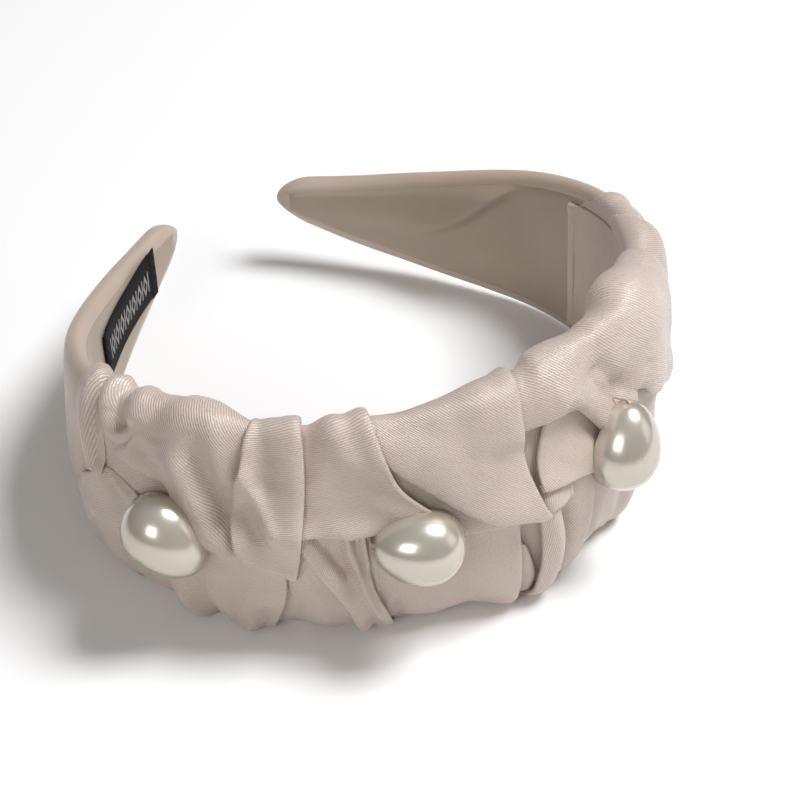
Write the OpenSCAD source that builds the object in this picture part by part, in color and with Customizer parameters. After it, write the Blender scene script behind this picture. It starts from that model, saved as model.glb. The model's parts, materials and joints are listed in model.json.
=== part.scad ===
// Padded satin headband with a pleated wrap and three sewn-on pearls.
// It lies on its lower side edge: the crown is at -Y, the two arm ends point to +Y.
// The band is drawn square to its own axis and then leaned back onto the surface
// by module lie_down(), which also flattens the soft edge where it rests.

/* [Hoop] */
// Height of the band at the crown
band_h = 58; // [50:1:66]
// Inner radius of the crown
crown_r = 72; // [68:1:76]
// Angle of one half of the crown
crown_a = 52; // [48:1:56]
// Inner radius over the ears
ear_r = 49; // [46:1:54]
// Angle of the curve over one ear
ear_a = 73; // [68:1:76]
// Inner radius of the arm ends
arm_r = 170; // [140:5:200]
// Angle of one arm end
arm_a = 21; // [17:1:23]
// How far the band's axis leans when it lies on its side
lean = 5.5; // [4:0.5:7]

/* [Layers] */
// Thickness of the satin lining
lining_t = 0.5; // [0.4:0.1:0.8]
// Thickness of the plastic hoop
core_t = 1.8; // [1.4:0.1:2.2]
// Distance from the band's edge to the hoop's edge
core_inset = 3.6; // [3.4:0.2:6]
// Thickness of the band at its rounded edge
edge_t = 5; // [4:0.2:6]
// Thickness of the padded crown at mid height
crown_t = 10.8; // [8.5:0.2:13]
// Thickness of the plain arms
arm_t = 6; // [4.8:0.2:7]
// Thickness of the folded satin and its backing
wrap_t = 2; // [1.6:0.1:2.4]
// Air between two layers that are not one piece
gap = 0.2; // [0.1:0.05:0.3]

/* [Pearls] */
// Length of a pearl
pearl_l = 21.5; // [18:0.5:24]
// Width of a pearl
pearl_w = 17.5; // [14:0.5:19]
// Height of a pearl over its flattened back
pearl_h = 11.5; // [10:0.5:12]
// Diameter of the thread hole
hole_d = 1.2; // [0.8:0.1:1.6]

/* [Label] */
// Length of the woven label along the arm
label_l = 38; // [28:1:40]
// Width of the woven label
label_w = 13.5; // [10:0.5:14]

/* [Hidden] */

satin = [0.77, 0.70, 0.67];
satin_shade = [0.62, 0.56, 0.50];
pearl_white = [0.87, 0.85, 0.80];

// ---- the band's plan: three tangent arcs to each side of the crown's centre ----
crown_y = -65;                                   // inner face of the crown
len1 = crown_r*crown_a*PI/180;
len2 = ear_r*ear_a*PI/180;
len3 = arm_r*arm_a*PI/180;
half_len = len1 + len2 + len3;
a12 = crown_a;
a23 = crown_a + ear_a;
c1 = [0, crown_y + crown_r];
c2 = c1 + (crown_r - ear_r)*[sin(a12), -cos(a12)];
c3 = c2 + (ear_r - arm_r)*[sin(a23), -cos(a23)];
function turn(a) = a < len1 ? a/crown_r*180/PI
    : a < len1 + len2 ? a12 + (a - len1)/ear_r*180/PI
    : a23 + (a - len1 - len2)/arm_r*180/PI;
function arc_c(a) = a < len1 ? c1 : a < len1 + len2 ? c2 : c3;
function arc_r(a) = a < len1 ? crown_r : a < len1 + len2 ? ear_r : arm_r;
// point at arc length u from the crown's centre (minus is left), height z, and distance o
// outwards from the inner face
function at(u, z, o) = let (a = abs(u), t = turn(a), r = arc_r(a) + o, c = arc_c(a))
    [(u < 0 ? -1 : 1)*(c[0] + r*sin(t)), c[1] - r*cos(t), z];

// ---- height of the two edges along the band, by smooth interpolation of a few stations ----
sk = half_len/190;
hk = band_h/58;
stations = sk*[0, 30, 60, 95, 115, 133, 152, 171, 190];
top_z = hk*[58, 57.6, 56.6, 54, 50.8, 47, 42.5, 38, 35.5];
low_z = hk*[-0.8, -0.5, 0.4, 4.8, 7.6, 10.4, 14, 18.6, 26.3];
function slope(Y, i) = i == 0 ? 0 : i == len(Y) - 1 ? (Y[i] - Y[i-1])/(stations[i] - stations[i-1])
    : (Y[i+1] - Y[i-1])/(stations[i+1] - stations[i-1]);
function seg(a, i = 0) = i >= len(stations) - 2 || a < stations[i+1] ? i : seg(a, i + 1);
function smooth(Y, a) = let (i = seg(a), h = stations[i+1] - stations[i], t = (a - stations[i])/h)
    (2*t*t*t - 3*t*t + 1)*Y[i] + (t*t*t - 2*t*t + t)*h*slope(Y, i)
    + (3*t*t - 2*t*t*t)*Y[i+1] + (t*t*t - t*t)*h*slope(Y, i + 1);
tip_r = 8;                                        // length of the rounded arm end
function round_end(a) = let (e = max(0, (a - (half_len - tip_r))/tip_r)) sqrt(max(0.02, 1 - e*e));
function mid_z(a) = (smooth(low_z, a) + smooth(top_z, a))/2;
function half_h(a) = (smooth(top_z, a) - smooth(low_z, a))/2*round_end(a);

// ---- thickness: padded over the crown, plain over the arms ----
wrap_left = -98;
wrap_right = 108;
function ease(t) = let (s = min(1, max(0, t))) s*s*(3 - 2*s);
function mid_t(u) = arm_t + (crown_t - arm_t)*(u < 0 ? ease((u - wrap_left + 10)/20) : ease((wrap_right + 10 - u)/20));
// distance of the outer face at height fraction v, on the domed part
function dome(u, v) = let (te = min(edge_t, mid_t(u)), q = 1 - pow(2*v - 1, 2)) te + (mid_t(u) - te)*pow(q, 0.7);

// ---- section: 15 points from the lower lip (k = 0) round the outside to the upper lip ----
fr = [0, 0, 0, 0, 0.1, 0.22, 0.36, 0.5];
rim_z = [1.5, 0.3, 0, 1];
rim_o = [0, 1, 2.4, 4.1];
in_z = [3, 2.3, 1.8, 2.4];
in_o = [0, 1, 2, 2.8];
floor_o = lining_t + gap + core_t + gap + 0.1;    // where the layers over the hoop begin
function sec(u, k, inner) = let (m = k > 7 ? 14 - k : k, a = abs(u), h = 2*half_h(a), s = min(1, h/14),
    z = inner ? (m < 4 ? in_z[m]*s : max(in_z[3]*s + 0.3, fr[m]*h + 0.4)) : (m < 4 ? rim_z[m]*s : max(rim_z[3]*s + 0.5, fr[m]*h)),
    o = inner ? (m < 3 ? in_o[m] : m == 3 ? floor_o : max(floor_o, dome(u, fr[m]) - wrap_t))
              : (m < 4 ? rim_o[m] : dome(u, fr[m])))
    [mid_z(a) + (k > 7 ? 1 : -1)*(h/2 - min(z, h/2 - 0.01*(8 - m))), o];

// closed slab between an outer and an inner grid of points, triangulated
module slab(outer, inner) {
    m = len(outer); n = len(outer[0]); all = m*n;
    pts = concat([for (r = outer) for (p = r) p], [for (r = inner) for (p = r) p]);
    function id(i, j, s) = s*all + i*n + j;
    function quad(a, b, c, d) = [[a, b, c], [a, c, d]];
    faces = concat(
        [for (i = [0:m-2]) for (j = [0:n-2]) for (f = quad(id(i,j,0), id(i,j+1,0), id(i+1,j+1,0), id(i+1,j,0))) f],
        [for (i = [0:m-2]) for (j = [0:n-2]) for (f = quad(id(i,j,1), id(i+1,j,1), id(i+1,j+1,1), id(i,j+1,1))) f],
        [for (i = [0:m-2]) for (f = quad(id(i,0,0), id(i+1,0,0), id(i+1,0,1), id(i,0,1))) f],
        [for (i = [0:m-2]) for (f = quad(id(i,n-1,0), id(i,n-1,1), id(i+1,n-1,1), id(i+1,n-1,0))) f],
        [for (j = [0:n-2]) for (f = quad(id(0,j,0), id(0,j,1), id(0,j+1,1), id(0,j+1,0))) f],
        [for (j = [0:n-2]) for (f = quad(id(m-1,j,0), id(m-1,j+1,0), id(m-1,j+1,1), id(m-1,j,1))) f]);
    polyhedron(points = pts, faces = faces, convexity = 4);
}
// arc lengths from a to b, about step apart
function along(a, b, step = 6) = let (n = max(1, ceil(abs(b - a)/step))) [for (i = [0:n]) a + (b - a)*i/n];

// lie the band down on its lower edge and flatten the edge where it rests
rest_z = -58*sin(lean);                           // sinks the soft edge about 1 mm into the surface
shift_x = 1.1;                                    // puts the origin under the middle of the whole box
shift_y = 5;
module lie_down() {
    intersection() {
        translate([shift_x, shift_y, rest_z]) rotate([-lean, 0, 0]) children();
        translate([-200, -200, 0]) cube([400, 400, 200]);
    }
}

// one half of a sheet that follows the plan, from distance o0 to o1; the crown's arc runs a
// little into the next one so that they join as one piece
module arcs(o0, o1) {
    translate([c1[0], c1[1], -10]) rotate([0, 0, -90]) rotate_extrude(angle = crown_a + 0.3, $fn = 180)
        translate([crown_r + o0, 0]) square([o1 - o0, band_h + 20]);
    translate([c2[0], c2[1], -10]) rotate([0, 0, a12 - 90]) rotate_extrude(angle = ear_a, $fn = 180)
        translate([ear_r + o0, 0]) square([o1 - o0, band_h + 20]);
    translate([c3[0], c3[1], -10]) rotate([0, 0, a23 - 90]) rotate_extrude(angle = arm_a, $fn = 360)
        translate([arm_r + o0, 0]) square([o1 - o0, band_h + 20]);
}
// the band's outline seen from the side, as a block along X, from arc length a0 to a1
module outline(inset, a0, a1) {
    as = along(a0, a1, 7);
    low = [for (a = as) let (p = at(a, 0, 0)) [p[1], mid_z(a) - max(1.2, half_h(a) - inset)]];
    top = [for (i = [len(as)-1:-1:0]) let (a = as[i], p = at(a, 0, 0)) [p[1], mid_z(a) + max(1.2, half_h(a) - inset)]];
    first = a0 < 1 ? [[-90, low[0][1]]] : [];
    last = a0 < 1 ? [[-90, top[len(top)-1][1]]] : [];
    rotate([90, 0, 90]) linear_extrude(height = 120) polygon(concat(first, low, top, last));
}
module sheet(o0, o1, inset, a0, a1) {
    intersection() { arcs(o0, o1); outline(inset, a0, a1); translate([gap/2 + 0.05, -200, -50]) cube([300, 400, 200]); }
}
module left() { mirror([1, 0, 0]) children(); }

core_o = lining_t + gap;
module hoop_core() { sheet(core_o, core_o + core_t, core_inset, 0, half_len - 4); }
module hoop_core_left() { color([0.20, 0.19, 0.18]) lie_down() left() hoop_core(); }
module hoop_core_right() { color([0.20, 0.19, 0.18]) lie_down() hoop_core(); }

seam_in = 106;                                    // where the lining meets the arm's satin
lining_inset = 3.3;
module crown_lining_left() { color(satin_shade) lie_down() left() sheet(0, lining_t, lining_inset, 0, -wrap_left - 2); }
module crown_lining_right() { color(satin_shade) lie_down() sheet(0, lining_t, lining_inset, 0, seam_in); }
module arm_lining_left() { color(satin_shade) lie_down() left() sheet(0, lining_t, lining_inset, -wrap_left - 1.6, half_len - 3.2); }
module arm_lining_right() { color(satin_shade) lie_down() sheet(0, lining_t, lining_inset, seam_in + 0.4, half_len - 3.2); }

// foam over the hoop, under the wrap
module foam(u0, u1) {
    us = along(u0, u1, 6.5);
    up = [for (u = us) [for (k = [3:11]) let (s = sec(u, k, true)) at(u, s[0] + (k < 7 ? 0.6 : k > 7 ? -0.6 : 0), floor_o + max(0.5, s[1] - floor_o - gap - 0.05))]];
    lo = [for (u = us) [for (k = [3:11]) let (s = sec(u, k, true)) at(u, s[0] + (k < 7 ? 0.6 : k > 7 ? -0.6 : 0), floor_o)]];
    slab(up, lo);
}
module foam_pad_left() { color([0.93, 0.92, 0.88]) lie_down() foam(wrap_left + 3, -0.15); }
module foam_pad_right() { color([0.93, 0.92, 0.88]) lie_down() foam(0.15, wrap_right - 3); }

// satin over the outside and both edges of a stretch of band
module wrap(us, k0, k1) {
    slab([for (u = us) [for (k = [k0:k1]) let (s = sec(u, k, false)) at(u, s[0], s[1])]],
         [for (u = us) [for (k = [k0:k1]) let (s = sec(u, k, true)) at(u, s[0], s[1])]]);
}
tip_us = [half_len - 14, half_len - 8, half_len - 5, half_len - 2.8, half_len - 1.4, half_len - 0.6];
module arm_cover_left() { color(satin) lie_down() wrap(concat([-tip_us[5], -tip_us[4], -tip_us[3], -tip_us[2], -tip_us[1]], along(-tip_us[0], wrap_left - gap, 7)), 0, 14); }
module arm_cover_right() { color(satin) lie_down() wrap(concat(along(wrap_right + gap, tip_us[0], 7), [tip_us[1], tip_us[2], tip_us[3], tip_us[4], tip_us[5]]), 0, 14); }

// pleats: each runs between two folds that may slant, from the middle line to one edge
module pleat(edge0, mid0, edge1, mid1, upper) {
    n = max(2, ceil(max(edge1 - edge0, mid1 - mid0)/6));
    ks = upper ? [7:14] : [0:7];
    function uu(i, k) = let (m = k > 7 ? 14 - k : k, f = pow(max(0, m)/7, 1.4),
        a = edge0 + gap/2 + (mid0 - edge0)*f, b = edge1 - gap/2 + (mid1 - edge1)*f) a + (b - a)*i/n;
    slab([for (i = [0:n]) [for (k = ks) let (u = uu(i, k), s = sec(u, k, false)) at(u, s[0] + (k == 7 ? (upper ? gap/2 : -gap/2) : 0), s[1])]],
         [for (i = [0:n]) [for (k = ks) let (u = uu(i, k), s = sec(u, k, true)) at(u, s[0] + (k == 7 ? (upper ? gap/2 : -gap/2) : 0), s[1])]]);
}
// fold positions at the edge and at the middle line, left to right
up_edge = [wrap_left, -85, -54, -44, -29, 0, 22, 50, 80, wrap_right];
up_mid = [wrap_left, -80, -54, -44, -16, 0, 24, 46, 76, wrap_right];
lo_edge = [wrap_left, -74, -56, -40, -24, 0, 16, 34, 66, wrap_right];
lo_mid = [wrap_left, -80, -62, -44, -28, 0, 12, 30, 62, wrap_right];
module upper_pleat(i) { color(satin) lie_down() pleat(up_edge[i] + (i == 5 ? 0.15 : 0), up_mid[i] + (i == 5 ? 0.15 : 0), up_edge[i+1] - (i == 4 ? 0.15 : 0), up_mid[i+1] - (i == 4 ? 0.15 : 0), true); }
module lower_pleat(i) { color(satin) lie_down() pleat(lo_edge[i] + (i == 5 ? 0.15 : 0), lo_mid[i] + (i == 5 ? 0.15 : 0), lo_edge[i+1] - (i == 4 ? 0.15 : 0), lo_mid[i+1] - (i == 4 ? 0.15 : 0), false); }

// a pearl: an egg of revolution with its axis along the cloth, flattened where it sits
function egg(t) = pearl_w/2*sin(180*t)*(1 + 0.16*cos(180*t));
sink = pearl_h - pearl_w/2;                       // axis over the flat back
module pearl() {
    difference() {
        intersection() {
            rotate([0, 90, 0]) rotate_extrude($fn = 64)
                polygon(concat([for (i = [0:18]) let (t = i/18) [max(0, egg(t)), -pearl_l/2*cos(180*t)]]));
            translate([-50, -50, -sink]) cube([100, 100, 60]);
        }
        rotate([0, 90, 0]) cylinder(h = 60, d = hole_d, center = true, $fn = 24);
    }
}
// thread: through the hole and down into the cloth at both ends
module pearl_thread() {
    r = hole_d/2 - 0.15; e = pearl_l/2 + 0.7;
    rotate([0, 90, 0]) cylinder(h = 2*e, r = r, center = true, $fn = 24);
    for (s = [-1, 1]) { translate([s*e, 0, 0]) sphere(r = r, $fn = 24);
        translate([s*e, 0, -sink]) cylinder(h = sink, r = r, $fn = 24); }
}
// put a piece on the outer face at u, height z; spin turns it in the plane of the cloth
module on_cloth(u, z, spin, lift) {
    p = at(u, z, dome(u, (z - mid_z(abs(u)) + half_h(abs(u)))/(2*half_h(abs(u)))) + lift + sink);
    t = (u < 0 ? -1 : 1)*turn(abs(u));
    translate(p) rotate([0, 0, t]) rotate([90, 0, 0]) rotate([0, 0, spin]) children();
}
// arc length, height and turn of each pearl; the narrow end points along the turn
pearl_at = [[-69, 30.5, -41], [-20.5, 29.5, 168], [27, 34, 77]];
pearl_lift = 0.35;
module pearl_left() { color(pearl_white) lie_down() on_cloth(pearl_at[0][0], pearl_at[0][1], pearl_at[0][2], pearl_lift) pearl(); }
module pearl_middle() { color(pearl_white) lie_down() on_cloth(pearl_at[1][0], pearl_at[1][1], pearl_at[1][2], pearl_lift) pearl(); }
module pearl_right() { color(pearl_white) lie_down() on_cloth(pearl_at[2][0], pearl_at[2][1], pearl_at[2][2], pearl_lift) pearl(); }
module pearl_thread_left() { color(satin) lie_down() on_cloth(pearl_at[0][0], pearl_at[0][1], pearl_at[0][2], pearl_lift) pearl_thread(); }
module pearl_thread_middle() { color(satin) lie_down() on_cloth(pearl_at[1][0], pearl_at[1][1], pearl_at[1][2], pearl_lift) pearl_thread(); }
module pearl_thread_right() { color(satin) lie_down() on_cloth(pearl_at[2][0], pearl_at[2][1], pearl_at[2][2], pearl_lift) pearl_thread(); }

// woven label on the inside of the left arm, and the stitches at its two ends
label_u = 154;
label_t = 0.5;
label_z = 24;
label_o = -0.15 - label_t;
module woven_label() {
    da = label_l/arm_r*180/PI;
    color([0.06, 0.06, 0.07]) lie_down() left()
        translate([c3[0], c3[1], label_z]) rotate([0, 0, turn(label_u - label_l/2) - 90])
            rotate_extrude(angle = da, $fn = 360) translate([arm_r + label_o, 0]) square([label_t, label_w]);
}
module label_stitches() {
    color([0.10, 0.10, 0.11]) lie_down() left()
        for (s = [-1, 1]) for (i = [0:3])
            translate(at(label_u + s*(label_l/2 - 1.2), label_z + 1.4 + i*(label_w - 4.3)/3, label_o - 0.3))
                cylinder(h = 1.5, r = 0.2, $fn = 16);
}

hoop_core_left();
hoop_core_right();
foam_pad_left();
foam_pad_right();
crown_lining_left();
crown_lining_right();
arm_lining_left();
arm_lining_right();
arm_cover_left();
arm_cover_right();
upper_pleat(0);  // upper_pleat_1
upper_pleat(1);  // upper_pleat_2
upper_pleat(2);  // upper_pleat_3
upper_pleat(3);  // upper_pleat_4
upper_pleat(4);  // upper_pleat_5
upper_pleat(5);  // upper_pleat_6
upper_pleat(6);  // upper_pleat_7
upper_pleat(7);  // upper_pleat_8
upper_pleat(8);  // upper_pleat_9
lower_pleat(0);  // lower_pleat_1
lower_pleat(1);  // lower_pleat_2
lower_pleat(2);  // lower_pleat_3
lower_pleat(3);  // lower_pleat_4
lower_pleat(4);  // lower_pleat_5
lower_pleat(5);  // lower_pleat_6
lower_pleat(6);  // lower_pleat_7
lower_pleat(7);  // lower_pleat_8
lower_pleat(8);  // lower_pleat_9
pearl_left();
pearl_middle();
pearl_right();
pearl_thread_left();
pearl_thread_middle();
pearl_thread_right();
woven_label();
label_stitches();
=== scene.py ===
import json
import math
import bpy
import numpy as np
from mathutils import Matrix, Vector

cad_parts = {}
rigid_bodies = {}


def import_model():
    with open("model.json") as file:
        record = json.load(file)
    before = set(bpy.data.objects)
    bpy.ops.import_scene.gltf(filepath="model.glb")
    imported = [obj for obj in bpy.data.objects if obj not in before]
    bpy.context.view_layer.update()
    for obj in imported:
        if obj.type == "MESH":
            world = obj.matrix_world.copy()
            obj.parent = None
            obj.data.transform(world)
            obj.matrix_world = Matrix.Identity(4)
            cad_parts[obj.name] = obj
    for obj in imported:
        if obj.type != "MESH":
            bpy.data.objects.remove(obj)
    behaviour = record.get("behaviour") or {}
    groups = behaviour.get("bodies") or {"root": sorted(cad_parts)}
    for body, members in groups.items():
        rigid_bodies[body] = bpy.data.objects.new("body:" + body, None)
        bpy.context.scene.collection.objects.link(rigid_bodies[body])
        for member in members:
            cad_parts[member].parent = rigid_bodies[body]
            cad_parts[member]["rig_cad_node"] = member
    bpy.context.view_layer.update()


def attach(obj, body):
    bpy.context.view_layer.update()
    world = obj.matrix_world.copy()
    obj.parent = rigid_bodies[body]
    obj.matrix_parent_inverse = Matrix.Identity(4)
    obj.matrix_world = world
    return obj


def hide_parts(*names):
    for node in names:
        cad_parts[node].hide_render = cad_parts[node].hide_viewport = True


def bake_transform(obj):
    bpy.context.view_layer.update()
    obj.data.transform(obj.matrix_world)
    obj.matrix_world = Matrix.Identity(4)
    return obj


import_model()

# ------------------------------------------------------------------ band geometry, in millimetres
# u: arc length along the band from the middle of the crown (right is positive), s: length across
# the band's skin, h: height over that skin. The hoop frame is then laid on its lower edge.
R = (72.0, 49.0, 170.0)
A = np.radians([52.0, 73.0, 21.0])
Y0 = -65.0
LN = np.array(R) * A
LT = LN.sum()
UK = np.array([0, 30, 60, 95, 115, 133, 152, 171, 190.2])
ZU = np.array([58, 57.6, 56.6, 54, 50.8, 47, 42.5, 38, 35.5])
ZL = np.array([-0.8, -0.5, 0.4, 4.8, 7.6, 10.4, 14, 18.6, 26.3])
LEAN = math.radians(5.5)


def ease(x):
    x = np.clip(x, 0, 1)
    return x * x * (3 - 2 * x)


def row(p):
    """Hoop frame in mm to the row frame in metres."""
    p = np.asarray(p, float)
    c, s = math.cos(LEAN), math.sin(LEAN)
    return np.stack([p[..., 0] + 1.1, p[..., 1] * c + p[..., 2] * s + 5, -p[..., 1] * s + p[..., 2] * c - 5.559], -1) / 1000


def herm(x, X, Y):
    m = np.zeros(len(X))
    m[1:-1] = (Y[2:] - Y[:-2]) / (X[2:] - X[:-2])
    m[-1] = (Y[-1] - Y[-2]) / (X[-1] - X[-2])
    x = np.clip(x, X[0], X[-1])
    i = np.clip(np.searchsorted(X, x, side="right") - 1, 0, len(X) - 2)
    h = X[i + 1] - X[i]
    t = (x - X[i]) / h
    return (2 * t**3 - 3 * t**2 + 1) * Y[i] + (t**3 - 2 * t**2 + t) * h * m[i] + (-2 * t**3 + 3 * t**2) * Y[i + 1] + (t**3 - t**2) * h * m[i + 1]


def plan(u):
    a = np.abs(u)
    sg = np.where(u < 0, -1.0, 1.0)
    cy = Y0 + R[0]
    x = R[0] * np.sin(a / R[0])
    y = cy - R[0] * np.cos(a / R[0])
    th = a / R[0]
    t1 = A[0]
    cx2 = (R[0] - R[1]) * np.sin(t1)
    cy2 = cy - (R[0] - R[1]) * np.cos(t1)
    th2 = t1 + (a - LN[0]) / R[1]
    m = a > LN[0]
    x = np.where(m, cx2 + R[1] * np.sin(th2), x)
    y = np.where(m, cy2 - R[1] * np.cos(th2), y)
    th = np.where(m, th2, th)
    t2 = A[0] + A[1]
    cx3 = cx2 + (R[1] - R[2]) * np.sin(t2)
    cy3 = cy2 - (R[1] - R[2]) * np.cos(t2)
    th3 = t2 + (a - LN[0] - LN[1]) / R[2]
    m = a > LN[0] + LN[1]
    x = np.where(m, cx3 + R[2] * np.sin(th3), x)
    y = np.where(m, cy3 - R[2] * np.cos(th3), y)
    th = np.where(m, th3, th)
    return x * sg, y, th * sg


def point(u, z, o):
    x, y, th = plan(u)
    return np.stack([x + np.sin(th) * o, y - np.cos(th) * o, z + 0 * x], -1)


def edges(u, tip=9.0):
    """Middle height and half height of the band at u, and the nose factor at the arm's tip."""
    a = np.abs(u)
    zl, zu = herm(a, UK, ZL), herm(a, UK, ZU)
    e = np.clip((a - (LT - tip)) / tip, 0, 1)
    k = np.sqrt(np.clip(1 - e**2, 0.0, 1))
    lift = 2.2 * ease((a - 140) / 50)          # the arms' ends stand a little higher
    return (zl + zu) / 2 + lift, (zu - zl) / 2 * k, k


def crown_t(u):
    """Thickness of the padded wrap, which thins towards its two ends."""
    return np.where(u < 0, 7.2 + 3.6 * ease((u + 110) / 24), 6 + 4.8 * ease((116 - u) / 30))


def section(u, t, T, rim=2.3, tip=None):
    """t: 0 mid outside, +-0.8 the edge's apex, +-1 the lip inside, beyond it the inner face."""
    zc, H, k = edges(u)
    c = np.abs(t)
    te = np.minimum(5.0, T)
    f = np.sin(np.clip(c / 0.8, 0, 1) * np.pi / 2)
    q = np.clip(1 - f**2, 0, 1)
    o = rim + (te - rim) * np.sqrt(1 - np.exp(-6.5 * q)) * 0.97 + (T - te) * q**0.8
    z = f * H
    kk = np.clip((c - 0.8) / 0.2, 0, 1)
    r2 = np.minimum(3.2, H * 0.45)
    z = np.where(c > 0.8, H - r2 * (1 - np.cos(kk * np.pi / 2)), z)
    o = np.where(c > 0.8, rim - rim * np.sin(kk * np.pi / 2), o)
    z = np.where(c > 1, H - r2 - (c - 1) * 40, z)
    if tip:
        kf = np.clip(k, 0.0, 1) ** 0.8
        o = 1.6 + (o - 1.6) * kf
    return zc + np.sign(t) * z, o


TT = np.linspace(-1.3, 1.3, 1041)
_z, _o = section(0 * TT + 20.0, TT, crown_t(0 * TT + 20.0))
SS = np.concatenate([[0], np.cumsum(np.hypot(np.diff(_z), np.diff(_o)))])
SS = SS - np.interp(0, TT, SS)


def s_of(t):
    return np.interp(t, TT, SS)


def t_of(s):
    return np.interp(s, SS, TT)


def skin0(u, s):
    t = t_of(s)
    z, o = section(u, t, crown_t(u))
    return point(u, z, o)


def skin(u, s, h):
    """Point at height h over the padded crown's skin."""
    u, s, h = np.broadcast_arrays(np.asarray(u, float), np.asarray(s, float), np.asarray(h, float))
    pu = skin0(u + 0.7, s) - skin0(u - 0.7, s)
    ps = skin0(u, s + 0.9) - skin0(u, s - 0.9)
    n = np.cross(pu, ps)
    n /= np.maximum(np.linalg.norm(n, axis=-1, keepdims=True), 1e-9)
    return skin0(u, s) + n * h[..., None]


# ------------------------------------------------------------------ small helpers
def mat_slots(o, mat):
    o.data.materials.clear()
    o.data.materials.append(mat)


def mesh_object(name, verts, faces, mat, weave=None, smooth=True):
    me = bpy.data.meshes.new(name)
    me.from_pydata([tuple(v) for v in verts], [], [tuple(int(i) for i in f) for f in faces])
    me.validate()
    me.polygons.foreach_set("use_smooth", [smooth] * len(me.polygons))
    if weave is not None:
        a = me.attributes.new("weave", "FLOAT_VECTOR", "POINT")
        w = np.zeros((len(verts), 3), np.float32)
        w[:, : weave.shape[1]] = weave
        a.data.foreach_set("vector", w.ravel())
    me.update()
    o = bpy.data.objects.new(name, me)
    bpy.context.scene.collection.objects.link(o)
    mat_slots(o, mat)
    return o


def grid_faces(n, m, base=0, flip=False, wrap_i=False, wrap_j=False):
    f = []
    for i in range(n if wrap_i else n - 1):
        for j in range(m if wrap_j else m - 1):
            a, b = base + i * m + j, base + ((i + 1) % n) * m + j
            c, d = base + ((i + 1) % n) * m + (j + 1) % m, base + i * m + (j + 1) % m
            f.append((a, d, c, b) if flip else (a, b, c, d))
    return f


def closed_sheet(P, th):
    """Verts and faces of a closed sheet of thickness th (mm) under the top grid P (n, m, 3)."""
    n, m = P.shape[:2]
    gu, gv = np.gradient(P, axis=0), np.gradient(P, axis=1)
    N = np.cross(gu, gv)
    N /= np.maximum(np.linalg.norm(N, axis=-1, keepdims=True), 1e-9)
    Q = P - N * th
    v = np.concatenate([P.reshape(-1, 3), Q.reshape(-1, 3)])
    k = n * m
    f = grid_faces(n, m) + grid_faces(n, m, k, flip=True)
    for i in range(n - 1):
        f.append((i * m, k + i * m, k + (i + 1) * m, (i + 1) * m))
        f.append(((i + 1) * m + m - 1, k + (i + 1) * m + m - 1, k + i * m + m - 1, i * m + m - 1))
    for j in range(m - 1):
        f.append((j + 1, k + j + 1, k + j, j))
        f.append(((n - 1) * m + j, k + (n - 1) * m + j, k + (n - 1) * m + j + 1, (n - 1) * m + j + 1))
    return v, f


def area_of(P):
    a = np.cross(P[1:, :-1] - P[:-1, :-1], P[:-1, 1:] - P[:-1, :-1])
    b = np.cross(P[:-1, 1:] - P[1:, 1:], P[1:, :-1] - P[1:, 1:])
    return float(np.linalg.norm(a, axis=-1).sum() + np.linalg.norm(b, axis=-1).sum()) / 2


def crv(pts, n):
    """n points evenly along a smooth curve through pts."""
    p = np.asarray(pts, float)
    if len(p) == 2:
        w = np.linspace(0, 1, n)[:, None]
        return p[0] * (1 - w) + p[1] * w
    e = np.vstack([2 * p[0] - p[1], p, 2 * p[-1] - p[-2]])
    out = []
    for i in range(1, len(e) - 2):
        a, b, c, d = e[i - 1], e[i], e[i + 1], e[i + 2]
        k1 = (c - a) / 2
        k2 = (d - b) / 2
        L = np.linalg.norm(c - b)
        for k, other in ((k1, 0), (k2, 0)):
            nk = np.linalg.norm(k)
            if nk > 1.2 * L:
                k *= 1.2 * L / nk
        t = np.linspace(0, 1, 24, endpoint=False)[:, None]
        out.append((2 * t**3 - 3 * t**2 + 1) * b + (t**3 - 2 * t**2 + t) * k1 + (-2 * t**3 + 3 * t**2) * c + (t**3 - t**2) * k2)
    out = np.vstack(out + [p[-1:]])
    d = np.concatenate([[0], np.cumsum(np.linalg.norm(np.diff(out, axis=0), axis=1))])
    w = np.linspace(0, d[-1], n)
    return np.stack([np.interp(w, d, out[:, 0]), np.interp(w, d, out[:, 1])], -1)


def length(p):
    return float(np.linalg.norm(np.diff(p, axis=0), axis=1).sum())


def dist_poly(U, S, line):
    """Distance of grid points to a polyline, and the place along it (0..1)."""
    best = np.full(U.shape, 1e9)
    at = np.zeros(U.shape)
    seg = np.diff(line, axis=0)
    L = np.linalg.norm(seg, axis=1)
    tot, acc = L.sum(), 0.0
    for p, d, l in zip(line[:-1], seg, L):
        k = np.clip(((U - p[0]) * d[0] + (S - p[1]) * d[1]) / max(l * l, 1e-9), 0, 1)
        q = np.hypot(U - p[0] - k * d[0], S - p[1] - k * d[1])
        m = q < best
        best = np.where(m, q, best)
        at = np.where(m, (acc + k * l) / tot, at)
        acc += l
    return best, at


# ------------------------------------------------------------------ materials
def new_mat(name):
    m = bpy.data.materials.new(name)
    m.use_nodes = True
    nt = m.node_tree
    return m, nt, nt.nodes["Principled BSDF"]


def node(nt, kind, **kw):
    n = nt.nodes.new(kind)
    for k, v in kw.items():
        if k in n.inputs:
            n.inputs[k].default_value = v
        else:
            setattr(n, k, v)
    return n


def math_node(nt, op, a, b=None, c=None):
    n = nt.nodes.new("ShaderNodeMath")
    n.operation = op
    for i, v in enumerate((a, b, c)):
        if v is None:
            continue
        if isinstance(v, (int, float)):
            n.inputs[i].default_value = v
        else:
            nt.links.new(v, n.inputs[i])
    return n.outputs[0]


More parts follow.
